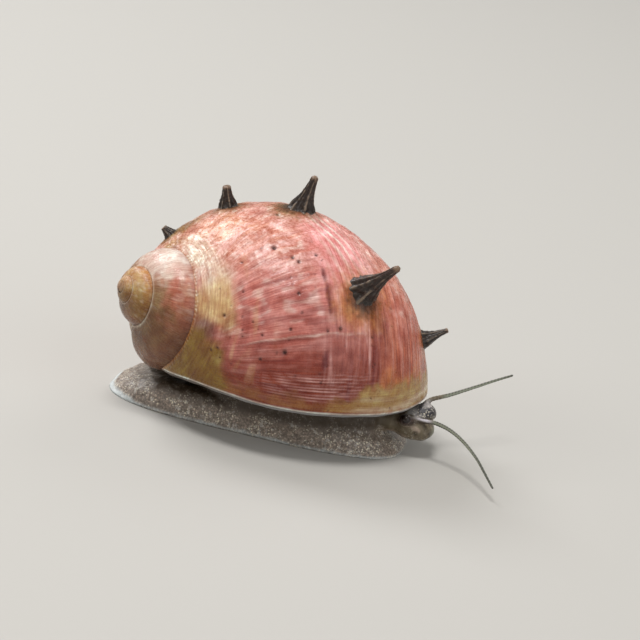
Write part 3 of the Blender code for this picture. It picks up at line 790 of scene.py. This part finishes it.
def spire_layers(turn, girth, share, growth):
    """Colours of the early whorls and their weights, by age, place between sutures and light."""
    early = ease((-530 - turn) / 90)
    blotch = mottle(31, growth / 12, girth / 5)
    # low is each whorl's lower side and crest its upward top, by how it faces the light.
    upward = np.cos(np.radians(turn - 8))
    low = ease(0.66 - 0.75 * upward + 0.1 * blotch)
    crest = ease(upward * 1.9 - 1 + 0.25 * blotch)
    yield PEACH, 0.4 * ease(blotch * 2) * (1 - low)
    yield DUSK, 0.9 * ease((0.62 - share + 0.15 * blotch) / 0.45) * (1 - 0.6 * crest)
    # SAND on the upward crests is a painted highlight.
    yield SAND, 0.9 * crest * (1 - early)
    yield TAN, early
    yield ORANGE, 0.4 * early * ease((share - 0.5) / 0.2) * ease((turn + 930) / 60)
    yield CREAM, 0.3 * early * ease(blotch * 1.2) * (1 - low)
    yield OLIVE, 0.7 * early * low
    yield CREAM, 0.5 * ease((-1090 - turn) / 60)
    yield MAROON, 0.7 * ease((share - 0.66) / 0.25) * (1 - early) * (0.3 + 0.7 * low)
    yield PALE, 0.2 * ease(mottle(32, growth / 5, girth / 9) * 2 - 0.3)
    # BROWN on the lower sides is painted shade over the shell's own darker olive-brown. The weights
    # above that grow with low are partly painted shade too.
    yield BROWN, 0.85 * low * (1 - 0.6 * early)
    # A painted shadow in the suture groove, beside the pale suture line.
    yield DARK_BROWN, 0.55 * np.exp(-((share - 0.055) / 0.03) ** 2)
    yield CREAM, 0.6 * np.exp(-((share - 0.1) / 0.014) ** 2)
    # Painted shade where the whorl runs in under the next one.
    yield DARK_BROWN, 0.6 * ease((share - 0.86) / 0.08)


def add_mesh(name, points, faces):
    """A new object of points and faces, for a form that no primitive comes near."""
    mesh = bpy.data.meshes.new(name)
    mesh.from_pydata(points, [], faces)
    made = bpy.data.objects.new(name, mesh)
    bpy.context.scene.collection.objects.link(made)
    return made


columns = int(SPIRE_STEPS * SPIRE_TURNS)
rows = SPIRE_ROWS + 1
turn_line = SPIRE_END - math.tau * SPIRE_TURNS * np.linspace(1, 0, columns + 1)
suture_line = suture_angle(turn_line)
low_edge = suture_line - SPIRE_SUNK[0]
high_edge = cover_angle(turn_line) + SPIRE_SUNK[1]
share = np.linspace(0, 1, rows)
turn = np.repeat(turn_line[:, None], rows, 1)
girth = low_edge[:, None] + (high_edge - low_edge)[:, None] * share
points = winding(turn, girth).reshape(-1, 3)
step_turn = winding(turn + 0.01, girth) - winding(turn - 0.01, girth)
step_girth = winding(turn, girth + 0.01) - winding(turn, girth - 0.01)
normals = np.cross(step_turn, step_girth).reshape(-1, 3)
normals /= np.linalg.norm(normals, axis=-1)[:, None]
turn, girth = np.degrees(turn).ravel(), np.degrees(girth).ravel()
relief = shell_relief(points, turn, girth, -turn, np.degrees(np.repeat(suture_line, rows)), [])
bulge = np.tile(np.sin(math.pi * share) ** 0.7 - 0.35, columns + 1)
size = np.repeat(mark_size(np.degrees(turn_line)), rows)
relief = relief * 0.6 + SPIRE_BULGE * size * bulge
relief -= np.repeat(ease((turn_line - SPIRE_END + 0.12) / 0.12) * END_SUNK, rows)
points = points + normals * (relief * MM)[:, None]
squash = TIP_SQUASH * ease(1 - (points - SHELL_TIP) @ axis_into / TIP_REACH)
points = raise_lip(points + axis_into * squash[:, None])
tip = len(points)
points = np.append(points, [points[:rows].mean(0) - axis_into * TIP_RISE * MM], 0)
faces = [
    (i * rows + j, (i + 1) * rows + j, (i + 1) * rows + j + 1, i * rows + j + 1)
    for i in range(columns) for j in range(SPIRE_ROWS)
]
faces += [(tip, (i + 1) * rows, i * rows) for i in range(SPIRE_STEPS)]
spire = add_mesh("spire", points.tolist(), faces)
smooth(spire)
mesh = spire.data
turn, girth = np.append(turn, turn[0]), np.append(girth, 50.0)
share = np.append(np.tile(share, columns + 1), 0.0)
tint = paint(np.tile(TERRACOTTA, (len(points), 1)), spire_layers(turn, girth, share, -turn))
give_data(mesh, "tint", "FLOAT_COLOR", tint)
give_data(mesh, "place", "FLOAT_VECTOR", np.stack((-turn * 0.6, girth, turn * 0), -1))
give_data(mesh, "worn", "FLOAT", np.full(len(points), 0.08))
mesh.materials.append(shell_material)
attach(spire, "root")
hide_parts("shell_spire")


# The horns: five hollow spines of the same shell, which the snail made at the lip in one row
# along its shoulder. Each stands on splayed fluted roots, and its tip is worn blunt and paler.
HORN_SIDES = 72
HORN_LEVELS = 30
# Each step of a horn: share of its length, share of its root radius
HORN_STEPS = (
    (-0.02, 1.1), (0.0, 1.0), (0.05, 0.84), (0.12, 0.73), (0.22, 0.62), (0.35, 0.52),
    (0.55, 0.40), (0.75, 0.32), (0.9, 0.27), (0.98, 0.25), (1.0, 0.17),
)
# How much slimmer each horn's shaft is than the steps, or blunter where below 0
HORN_SLIM = (-0.7, -0.5, 0.08, 0.2, 0.1)
# Share of its length over which a horn's root leaves the shell
HORN_ROOT = 0.16
HORN_DARK = (0.022, 0.013, 0.010)
RIDGE_COLOUR = (0.22, 0.165, 0.12)
TIP_COLOUR = (0.27, 0.17, 0.11)


def loft(name, loops):
    """A closed mesh through rings of equal numbers of points."""
    sides = len(loops[0])
    faces = []
    for level in range(len(loops) - 1):
        for side in range(sides):
            a, b = level * sides + side, level * sides + (side + 1) % sides
            faces.append((a, b, b + sides, a + sides))
    faces.append(tuple(range(sides))[::-1])
    faces.append(tuple(range((len(loops) - 1) * sides, len(loops) * sides)))
    return add_mesh(name, [point for ring in loops for point in ring], faces)


def finish_surface(tree, shader, colour, heights, distance, strength):
    """Give a shader its colour and its fine relief."""
    inputs = {"Height": heights, "Distance": distance * MM, "Strength": strength}
    bump = shade(tree, "Bump", inputs)
    tree.links.new(colour, shader.inputs["Base Color"])
    tree.links.new(bump.outputs["Normal"], shader.inputs["Normal"])


horn_material, tree, shader = new_material("nerite_horn", 0.34)
object_place = shade(tree, "TexCoord", {}).outputs["Object"]
grains = noise_on(tree, object_place, 6000.0, 4.0, 0.6)
colour = attribute(tree, "tint", "Color")
colour = overlay(tree, colour, ramp(tree, grains, 0.55, 0.8, 0.4), RIDGE_COLOUR, "MIX")
finish_surface(tree, shader, colour, grains, 0.05, 0.8)

shell_surface = BVHTree.FromObject(body_whorl, bpy.context.evaluated_depsgraph_get())
shares, radii = zip(*HORN_STEPS)
for number, (turn_at, girth_at, length, radius, lean) in enumerate(HORNS, 1):
    slim = HORN_SLIM[number - 1]
    here = shell_place(turn_at, girth_at)
    onward = shell_place(turn_at, girth_at, on=0.01) - here
    across = shell_place(turn_at, girth_at, across=0.01) - here
    normal = Vector(np.cross(onward, across)).normalized()
    way = (normal + Vector(onward).normalized() * lean).normalized()
    first = way.orthogonal().normalized()
    second = way.cross(first)
    root = shell_surface.find_nearest(Vector(here))[0]
    loops, tints = [], []
    for level in range(HORN_LEVELS + 1):
        share = -0.02 + 1.02 * level / HORN_LEVELS
        base = radius * float(np.interp(share, shares, radii))
        base *= 1 - slim * (ease(1.25 * share) if slim > 0 else share)
        splay = 0.085 * max(0.0, 1 - share) ** 1.5 * float(ease((share + 0.03) / 0.1))
        ring = []
        for side in range(HORN_SIDES):
            angle = math.tau * side / HORN_SIDES
            wave = math.sin(7 * angle + number)
            wave += 0.9 * math.sin(12 * angle + 2 * number + 2 * share)
            rough_place = Vector((math.cos(angle), math.sin(angle), share * 5 + number))
            rough = noise.noise(rough_place * 2.2)
            arm = first * math.cos(angle) + second * math.sin(angle)
            reach = base * (1 + wave * (splay + 0.03) + 0.13 * rough)
            point = root + (way * length * max(share, 0.0) + arm * reach) * MM
            if share < HORN_ROOT:
                under, out = shell_surface.find_nearest(point)[:2]
                rest = under + out * (0.11 * share / HORN_ROOT - 0.03) * MM
                point = point.lerp(rest, (1 - share / HORN_ROOT) ** 2 if share > 0 else 1.0)
            ring.append(point)
            crest = min(1.0, max(0.0, 1.6 * (wave - 1.1 + 1.5 * rough)))
            tip_share = min(1.0, max(0.0, (share - 0.88 + 0.1 * rough) / 0.1))
            tint = Vector(HORN_DARK).lerp(Vector(RIDGE_COLOUR), crest)
            tints.append(tint.lerp(Vector(TIP_COLOUR), 0.75 * tip_share))
        loops.append(ring)
    horn = loft(f"horn_{number}", loops)
    smooth(horn)
    give_data(horn.data, "tint", "FLOAT_COLOR", np.array(tints))
    horn.data.materials.append(horn_material)
    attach(horn, "root")


# The body: one skin over the foot, the column that goes up into the shell, the head with its
# snout and eye stalks, the feelers and the mantle's edge, which lies just under the lip. The
# foot is flattened to a thin pale margin on the floor.
SOLE_HALF_LENGTH = 9.0
SOLE_HALF_WIDTH = 4.1
SOLE_NEAR_WIDTH = 3.8
SOLE_SQUARENESS = 3.0
FOOT_HEIGHT = 1.7
FOOT_END_HEIGHT = 0.75
FOOT_LEVEL_HALF_LENGTH = 4.4
# Each step up the foot: share of the sole's size, share of the foot's height
FOOT_STEPS = (
    (0.0, 0.0), (0.9, 0.0), (0.985, 0.0), (1.0, 0.03), (0.995, 0.075), (0.97, 0.15), (0.955, 0.3),
    (0.935, 0.5), (0.9, 0.72), (0.84, 0.9), (0.74, 0.99), (0.4, 1.0), (0.0, 1.0),
)
FOOT_SIDES = 160
FOOT_RINGS = 60
COLUMN_CENTRE = (1.6, 0.0)
COLUMN_SIZE = (6.0, 3.7)
COLUMN_LOW = 0.9
COLUMN_HIGH = 3.1
HEAD_CENTRE = (8.88, -0.02, 1.7)
HEAD_SIZE = (1.5, 1.2, 0.85)
HEAD_TURN = math.radians(-17)
HEAD_NOD = math.radians(10)
NECK_CENTRE = (7.4, 0.0, 1.75)
NECK_SIZE = (2.0, 1.15, 0.75)
CROWN_CENTRE = (9.5, 0.6, 2.28)
CROWN_SIZE = (0.68, 0.75, 0.55)
EYE_RADIUS = 0.33
EYES = {"right": (8.78, -1.3, 2.3), "left": (9.78, 1.2, 2.2)}
STALK_SIZE = (0.42, 0.40, 0.38)
ROOT_BALLS = 14
ROOT_BALL_STEP = 0.15
FEELERS = {
    "right": (
        (8.9, -0.7, 2.1), (9.3, -0.82, 2.22), (9.9, -0.92, 2.32), (10.5, -0.98, 2.38),
        (11.4, -1.35, 2.3), (12.3, -1.85, 2.02), (13.3, -2.8, 1.62), (14.1, -3.85, 1.2),
        (14.8, -4.85, 0.84),
    ),
    "left": (
        (9.25, 0.75, 2.3), (9.4, 1.0, 2.68), (9.7, 1.3, 2.92), (10.2, 1.65, 3.08),
        (10.75, 2.05, 3.26), (11.85, 2.95, 3.68), (12.75, 4.05, 3.93), (13.6, 5.2, 4.1),
    ),
}
FEELER_ROOT = 0.16
FEELER_TIP = 0.06
FEELER_STEP = 0.05
FEELER_SIDES = 14
SKIN_GRAIN = 0.085 * MM
SKIN_RELIEF = 0.03
# Each size of wrinkle: spacing, noise seed
WRINKLES = ((0.55, 41), (0.26, 42), ((0.5, 0.5, 2.5), 43))
# Each step round the mantle's edge: distance in from the lip's outline, height above the lip
MANTLE_STEPS = (
    (2.6, 0.2), (0.6, 0.24), (0.26, 0.16), (0.17, 0.02), (0.14, -0.1), (0.17, -0.2), (0.3, -0.27),
    (0.6, -0.27), (1.4, -0.1), (2.6, 0.0),
)
CHARCOAL = (0.046, 0.028, 0.014)
GREY_BROWN = (0.335, 0.28, 0.24)
MARGIN = (0.62, 0.68, 0.70)
MANTLE = (0.075, 0.05, 0.032)
MANTLE_EDGE = (0.26, 0.25, 0.25)
FEELER_DARK = (0.035, 0.035, 0.025)
FEELER_PALE = (0.27, 0.29, 0.22)
RED_SPOT = (0.028, 0.009, 0.008)
SNOUT_BROWN = (0.17, 0.135, 0.085)
SNOUT_PALE = (0.36, 0.28, 0.22)
CROWN_DARK = (0.022, 0.02, 0.03)
CROWN_HIGHLIGHT = (0.34, 0.32, 0.33)
ROOT_HIGHLIGHT = (0.60, 0.58, 0.64)


def smooth_path(corners, step):
    """Even points on a smooth curve through corner points."""
    corners = [Vector(corner) for corner in corners]
    ends = [corners[0] * 2 - corners[1], *corners, corners[-1] * 2 - corners[-2]]
    fine = []
    for a, b, c, d in zip(ends, ends[1:], ends[2:], ends[3:]):
        for i in range(20):
            t = i / 20
            bend = (2 * a - 5 * b + 4 * c - d) * t * t + (3 * b - 3 * c + d - a) * t * t * t
            fine.append((2 * b + (c - a) * t + bend) / 2)
    fine.append(corners[-1])
    path = [fine[0]]
    left = step
    for a, b in zip(fine, fine[1:]):
        length = (b - a).length
        while left <= length:
            path.append(a.lerp(b, left / length))
            left += step
        left -= length
    if (path[-1] - fine[-1]).length > step / 3:
        path.append(fine[-1])
    return path


def add_ball(centre, size, segments, turned=Matrix.Identity(4)):
    """A ball of the body's form, stretched, turned and moved to its centre."""
    rings = segments // 2
    ball = start_shape(
        "ball_form", "primitive_uv_sphere_add", segments=segments, ring_count=rings, radius=1,
    )
    stretch = Matrix.Diagonal((*(value * MM for value in size), 1))
    ball.data.transform(Matrix.Translation(Vector(centre) * MM) @ turned @ stretch)
    return ball


def join_objects(target, others):
    """Join objects into the first one."""
    select_only(target, *others)
    bpy.ops.object.join()
    return target


def foot_top(x):
    """Height of the foot at a place along it, in millimetres."""
    share = (np.abs(x) - FOOT_LEVEL_HALF_LENGTH) / (SOLE_HALF_LENGTH - FOOT_LEVEL_HALF_LENGTH)
    return FOOT_HEIGHT + (FOOT_END_HEIGHT - FOOT_HEIGHT) * ease(share)


def round_power(value):
    """A cosine or sine of the sole's outline, which is squarer than an oval."""
    return math.copysign(abs(value) ** (2 / SOLE_SQUARENESS), value)


steps = np.array(FOOT_STEPS)
run = np.hypot(np.diff(steps[:, 0]) * 4, np.diff(steps[:, 1]) * FOOT_HEIGHT)
reached = np.concatenate(([0], np.cumsum(run)))
loops = []
for level in range(FOOT_RINGS + 1):
    at = reached[-1] * level / FOOT_RINGS
    width = max(float(np.interp(at, reached, steps[:, 0])), 0.01)
    rise = float(np.interp(at, reached, steps[:, 1]))
    ring = []
    for side in range(FOOT_SIDES):
        angle = math.tau * side / FOOT_SIDES
        x = SOLE_HALF_LENGTH * width * round_power(math.cos(angle))
        half_width = SOLE_HALF_WIDTH if math.sin(angle) > 0 else SOLE_NEAR_WIDTH
        y = half_width * width * round_power(math.sin(angle))
        ring.append((x * MM, y * MM, rise * float(foot_top(x)) * MM))
    loops.append(ring)
foot = loft("foot_form", loops)

column = start_shape(
    "column_form", "primitive_cylinder_add", vertices=96, radius=1, depth=1, end_fill_type="TRIFAN",
)
points = get_points(column.data)
column_x = COLUMN_CENTRE[0] + points[:, 0] * COLUMN_SIZE[0]
column_y = COLUMN_CENTRE[1] + points[:, 1] * COLUMN_SIZE[1]
column_z = np.where(points[:, 2] > 0, COLUMN_HIGH, COLUMN_LOW)
set_points(column.data, np.stack((column_x, column_y, column_z), -1) * MM)

head_turned = Matrix.Rotation(HEAD_TURN, 4, "Z") @ Matrix.Rotation(HEAD_NOD, 4, "Y")
forms = [
    column,
    add_ball(HEAD_CENTRE, HEAD_SIZE, 48, head_turned),
    add_ball(NECK_CENTRE, NECK_SIZE, 48),
    add_ball(CROWN_CENTRE, CROWN_SIZE, 32),
]
for x, y, z in EYES.values():
    forms.append(add_ball((x - 0.02, y * 0.9, z - 0.1), STALK_SIZE, 24))
for corners in FEELERS.values():
    for number, point in enumerate(smooth_path(corners, ROOT_BALL_STEP)[:ROOT_BALLS]):
        radius = FEELER_ROOT * 0.9 + 0.07 * max(0, 1 - number / 7)
        forms.append(add_ball(point, (radius, radius, radius), 16))
skin = join_objects(foot, forms)
skin.name = "skin"
remesh = skin.modifiers.new("remesh", "REMESH")
remesh.mode = "VOXEL"
remesh.voxel_size = SKIN_GRAIN
bpy.ops.object.modifier_apply(modifier=remesh.name)
relax = skin.modifiers.new("relax", "SMOOTH")
relax.factor = 0.5
relax.iterations = 9
bpy.ops.object.modifier_apply(modifier=relax.name)
mesh = skin.data
points = get_points(mesh)
grain = points / MM
relief = sum(SKIN_RELIEF * mottle(seed, *(grain / np.array(gap)).T) for gap, seed in WRINKLES)
less_on_head = 1 - 0.5 * ease((grain[:, 0] - 6.8) / 1.2)
relief = relief * less_on_head * MM * ease((grain[:, 2] - 0.05) / 0.25)
points = points + get_points(mesh, normals=True) * relief[:, None]
points[:, 2] -= np.where(grain[:, 2] < 0.06, 0.02 * MM, 0)
points[:, 2] = np.maximum(points[:, 2], 0)
set_points(mesh, points)

mantle_loops = []
wave = 0.03 * np.sin(np.arange(len(lip_line)) * math.tau * 23 / len(lip_line))
for inward, rise in MANTLE_STEPS:
    depth = (inward + wave * (inward < 1)) * MM
    ring = lip_line - lip_out * depth[:, None] + np.array((0, 0, rise * MM))
    mantle_loops.append(ring[::2].tolist())
soft_edges = [loft("mantle_form", mantle_loops)]
for corners in FEELERS.values():
    path = smooth_path(corners, FEELER_STEP)
    loops = []
    for number, point in enumerate(path):
        share = number / (len(path) - 1)
        radius = FEELER_ROOT + (FEELER_TIP - FEELER_ROOT) * share ** 0.6
        radius = radius * (1 + 0.07 * math.sin(point.x * 40))
        radius = radius * (1, 0.9, 0.7)[max(0, number - len(path) + 3)]
        ahead = path[min(number + 1, len(path) - 1)] - path[max(number - 1, 0)]
        ahead.normalize()
        first = ahead.cross(Vector((0, 0, 1))).normalized()
        second = first.cross(ahead)
        loops.append([
            (point + (first * math.cos(angle) + second * math.sin(angle)) * radius) * MM
            for angle in (math.tau * i / FEELER_SIDES for i in range(FEELER_SIDES))
        ])
    soft_edges.append(loft("feeler_form", loops))
skin = join_objects(skin, soft_edges)
bpy.ops.object.mode_set(mode="EDIT")
bpy.ops.mesh.select_all(action="SELECT")
bpy.ops.mesh.normals_make_consistent(inside=False)
bpy.ops.object.mode_set(mode="OBJECT")
smooth(skin)

mesh = skin.data
grain = get_points(mesh) / MM
x, y, z = grain.T
facing = get_points(mesh, normals=True)[:, 2]


def spot(place, size):
    """A spot with a soft edge, 1 in its middle."""
    return np.exp(-(((grain - np.array(place)) / np.array(size)) ** 4).sum(1))


low = ease((1.65 - z) / 0.9)
crown = spot((9.65, 0.15, 2.57), (0.8, 0.95, 0.4))
mantle = (z > 2.3) & (x < 8.6)
feeler = ease((x - 10.1) / 0.4)
side_width = np.where(y > 0, SOLE_HALF_WIDTH, SOLE_NEAR_WIDTH)
sole_share = (np.abs(x / SOLE_HALF_LENGTH) ** 3 + np.abs(y / side_width) ** 3) ** (1 / 3)
margin_start = 0.972 - 0.035 * ease((-6.0 - x) / 2) - 0.008 * ease((x - 6.0) / 2)
margin = ease((sole_share - margin_start) / 0.025) * (z < 0.6)


def skin_layers():
    """Colours of the skin and their weights: foot, head, margin, mantle, feelers and eye rings."""
    yield GREY_BROWN, 0.75 * low
    head = ease((x - 6.8) / 1.2) * ease((z - 0.8) / 0.5)
    yield SNOUT_BROWN, 0.9 * head
    pale_snout = mottle(51, *(grain / 0.5).T) * ease((2.05 - z) / 0.2)
    yield SNOUT_PALE, 0.8 * head * ease(pale_snout * 2.5 - 0.2)
    yield CHARCOAL, 0.85 * head * (ease((x - 9.6) / 0.4) * ease(mottle(52, *(grain / 0.22).T) * 3))
    yield CROWN_DARK, crown
    # A painted highlight on the top of the head's dome.
    yield CROWN_HIGHLIGHT, spot((9.66, 0.6, 2.86), (0.26, 0.5, 0.14))
    yield CHARCOAL, spot((9.44, -1.15, 1.56), (0.13, 0.5, 0.15))
    yield MARGIN, 0.9 * margin
    yield MANTLE, mantle
    rim_reach = np.full(len(grain), 9.0)
    for rim_x, rim_y in lip_line[::8, :2] / MM:
        rim_reach = np.minimum(rim_reach, np.hypot(x - rim_x, y - rim_y))
    mantle_edge = ease((0.5 - rim_reach) / 0.2) * (z > 2.4) * (x < 9.2)
    yield MANTLE_EDGE, mantle_edge * (0.25 + 0.75 * ease((x + 2.5) / 3))
    yield FEELER_PALE, feeler
    # The feelers' upper and lower sides, their edges from the camera, get painted edge shade with
    # dark beads along them.
    shaded_flank = ease((np.abs(facing - 0.15) - 0.32) / 0.25)
    yield FEELER_DARK, feeler * shaded_flank * (0.35 + 0.65 * (np.sin(x * 40) * 0.5 + 0.5))
    yield FEELER_DARK, 0.7 * feeler * ease((x - 12.5) / 1.5)
    yield CHARCOAL, 0.9 * spot((9.7, -1.0, 2.2), (0.6, 0.4, 0.12))
    # A painted highlight along the root of the near feeler.
    yield ROOT_HIGHLIGHT, spot((9.7, -0.9, 2.42), (0.5, 0.35, 0.09))
    for eye_place in EYES.values():
        yield RED_SPOT, spot(eye_place, (0.6, 0.5, 0.34))


give_data(mesh, "tint", "FLOAT_COLOR", paint(np.tile(CHARCOAL, (len(grain), 1)), skin_layers()))
speckled = np.clip(0.1 + 0.9 * low, 0, 1) * (1 - feeler) * (1 - mantle * 0.9) * (1 - 0.8 * margin)
give_data(mesh, "speckled", "FLOAT", np.maximum(speckled, 0.75 * crown))

skin_material, tree, shader = new_material("nerite_skin", 0.45)
object_place = shade(tree, "TexCoord", {}).outputs["Object"]
speckled = attribute(tree, "speckled", "Fac")
fine = noise_on(tree, object_place, 7500.0, 3.0, 0.7)
blotches = ramp(tree, noise_on(tree, object_place, 1500.0, 4.0, 0.65), 0.46, 0.53)
clumps = ramp(tree, noise_on(tree, object_place, 3600.0, 3.0, 0.65), 0.54, 0.62, 0.8)
cells = shade(tree, "TexVoronoi", {"Vector": object_place, "Scale": 8000.0}, feature="F1")
cell_kind = shade(tree, "SeparateXYZ", {"Vector": cells.outputs["Color"]}).outputs["X"]
specks = product(tree, ramp(tree, cells.outputs["Distance"], 0.46, 0.30), blotches)
colour = attribute(tree, "tint", "Color")
for weight, layer, blend in (
    (ramp(tree, fine, 0.5, 0.36, 0.75), (0.45, 0.40, 0.38), "MULTIPLY"),
    (ramp(tree, fine, 0.53, 0.63), (1.9, 1.8, 1.7), "MULTIPLY"),
    (product(tree, clumps, blotches), (0.60, 0.57, 0.53), "MIX"),
    (product(tree, specks, ramp(tree, cell_kind, 0.15, 0.7)), (0.84, 0.77, 0.62), "MIX"),
):
    colour = overlay(tree, colour, product(tree, weight, speckled), layer, blend)
finish_surface(tree, shader, colour, fine, 0.06, 0.6)
shader.inputs["Coat Weight"].default_value = 0.08
shader.inputs["Coat Roughness"].default_value = 0.3
mesh.materials.clear()
mesh.materials.append(skin_material)
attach(skin, "root")
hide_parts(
    "foot", "body_column", "head", "tentacle_right_root", "tentacle_right_tip",
    "tentacle_left_root", "tentacle_left_tip",
)


# The eyes: two small black glossy beads, each on a short stalk outside the root of a feeler.
# They are clear skin over dark pigment, so their colour goes a little deeper in spots.
EYE_BEAD_SHARE = 0.85


def two_tones(tree, scale, detail, dark, light):
    """Noise on the object, and a colour between two by it."""
    object_place = shade(tree, "TexCoord", {}).outputs["Object"]
    tones = noise_on(tree, object_place, scale, detail)
    colour = shade(tree, "ValToRGB", {"Fac": tones})
    colour.color_ramp.elements[0].color = (*dark, 1)
    colour.color_ramp.elements[1].color = (*light, 1)
    return tones, colour.outputs["Color"]


eye_material, tree, shader = new_material("nerite_eye", 0.22)
colour = two_tones(tree, 2500.0, 2.0, (0.004, 0.003, 0.004), (0.03, 0.015, 0.01))[1]
tree.links.new(colour, shader.inputs["Base Color"])
for side, place in EYES.items():
    eye = start_shape(
        f"eye_{side}_bead", "primitive_uv_sphere_add", segments=40, ring_count=24,
        radius=EYE_RADIUS * MM * EYE_BEAD_SHARE, location=[value * MM for value in place],
    )
    bpy.ops.object.transform_apply(location=True, rotation=False, scale=False)
    smooth(eye)
    eye.data.materials.append(eye_material)
    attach(eye, "root")
    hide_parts(f"eye_{side}")


# The operculum: the thin limy plate that shuts the shell. It lies on the tail, under the spire,
# and shows ridges of growth round its corner.
OPERCULUM_CENTRE = (-6.1, 1.2, 2.0)
OPERCULUM_HALF = (1.25, 2.1)
OPERCULUM_THICKNESS = 0.4
OPERCULUM_SLOPE = math.radians(-14)
OPERCULUM_RINGS = 26
OPERCULUM_SIDES = 72
CORNER_SHIFT = 0.45
PLATE_COLOUR = (0.07, 0.05, 0.03)

place = Matrix.Translation(Vector(OPERCULUM_CENTRE) * MM) @ Matrix.Rotation(OPERCULUM_SLOPE, 4, "Y")
loops = []
for level in range(-4, OPERCULUM_RINGS + 1):
    share = 1 - max(level, 0) / OPERCULUM_RINGS
    shrink = max(share, 0.02)
    shift = CORNER_SHIFT * (1 - shrink)
    ring = []
    for side in range(OPERCULUM_SIDES):
        angle = math.tau * side / OPERCULUM_SIDES
        x = OPERCULUM_HALF[0] * (math.cos(angle) * shrink + shift)
        y = OPERCULUM_HALF[1] * (math.sin(angle) * shrink - shift)
        z = OPERCULUM_THICKNESS * (0.5 - 0.22 * share ** 3)
        z = z + 0.02 * math.sin(share * 60 + 0.6 * math.sin(angle)) if level > 0 else z
        if level < 0:
            z = OPERCULUM_THICKNESS * (-0.3 + 0.145 * (level + 4))
            bulge = 0.94 + 0.06 * math.sin(math.pi * (level + 4) / 4)
            x, y = x * bulge, y * bulge
        ring.append(place @ (Vector((x, y, z)) * MM))
    loops.append(ring)
plate = loft("operculum_plate", loops)
smooth(plate)
plate_material, tree, shader = new_material("nerite_operculum", 0.4)
dark, light = ([value * tone for value in PLATE_COLOUR] for tone in (0.5, 1.6))
bands, colour = two_tones(tree, 1300.0, 5.0, dark, light)
finish_surface(tree, shader, colour, bands, 0.05, 0.5)
plate.data.materials.append(plate_material)
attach(plate, "root")
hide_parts("operculum")


# The sizes of the solids and of the finished model.
boxes = {"cad": cad_box, "visual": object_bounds()}
{name: [list(corner) for corner in box] for name, box in boxes.items()}
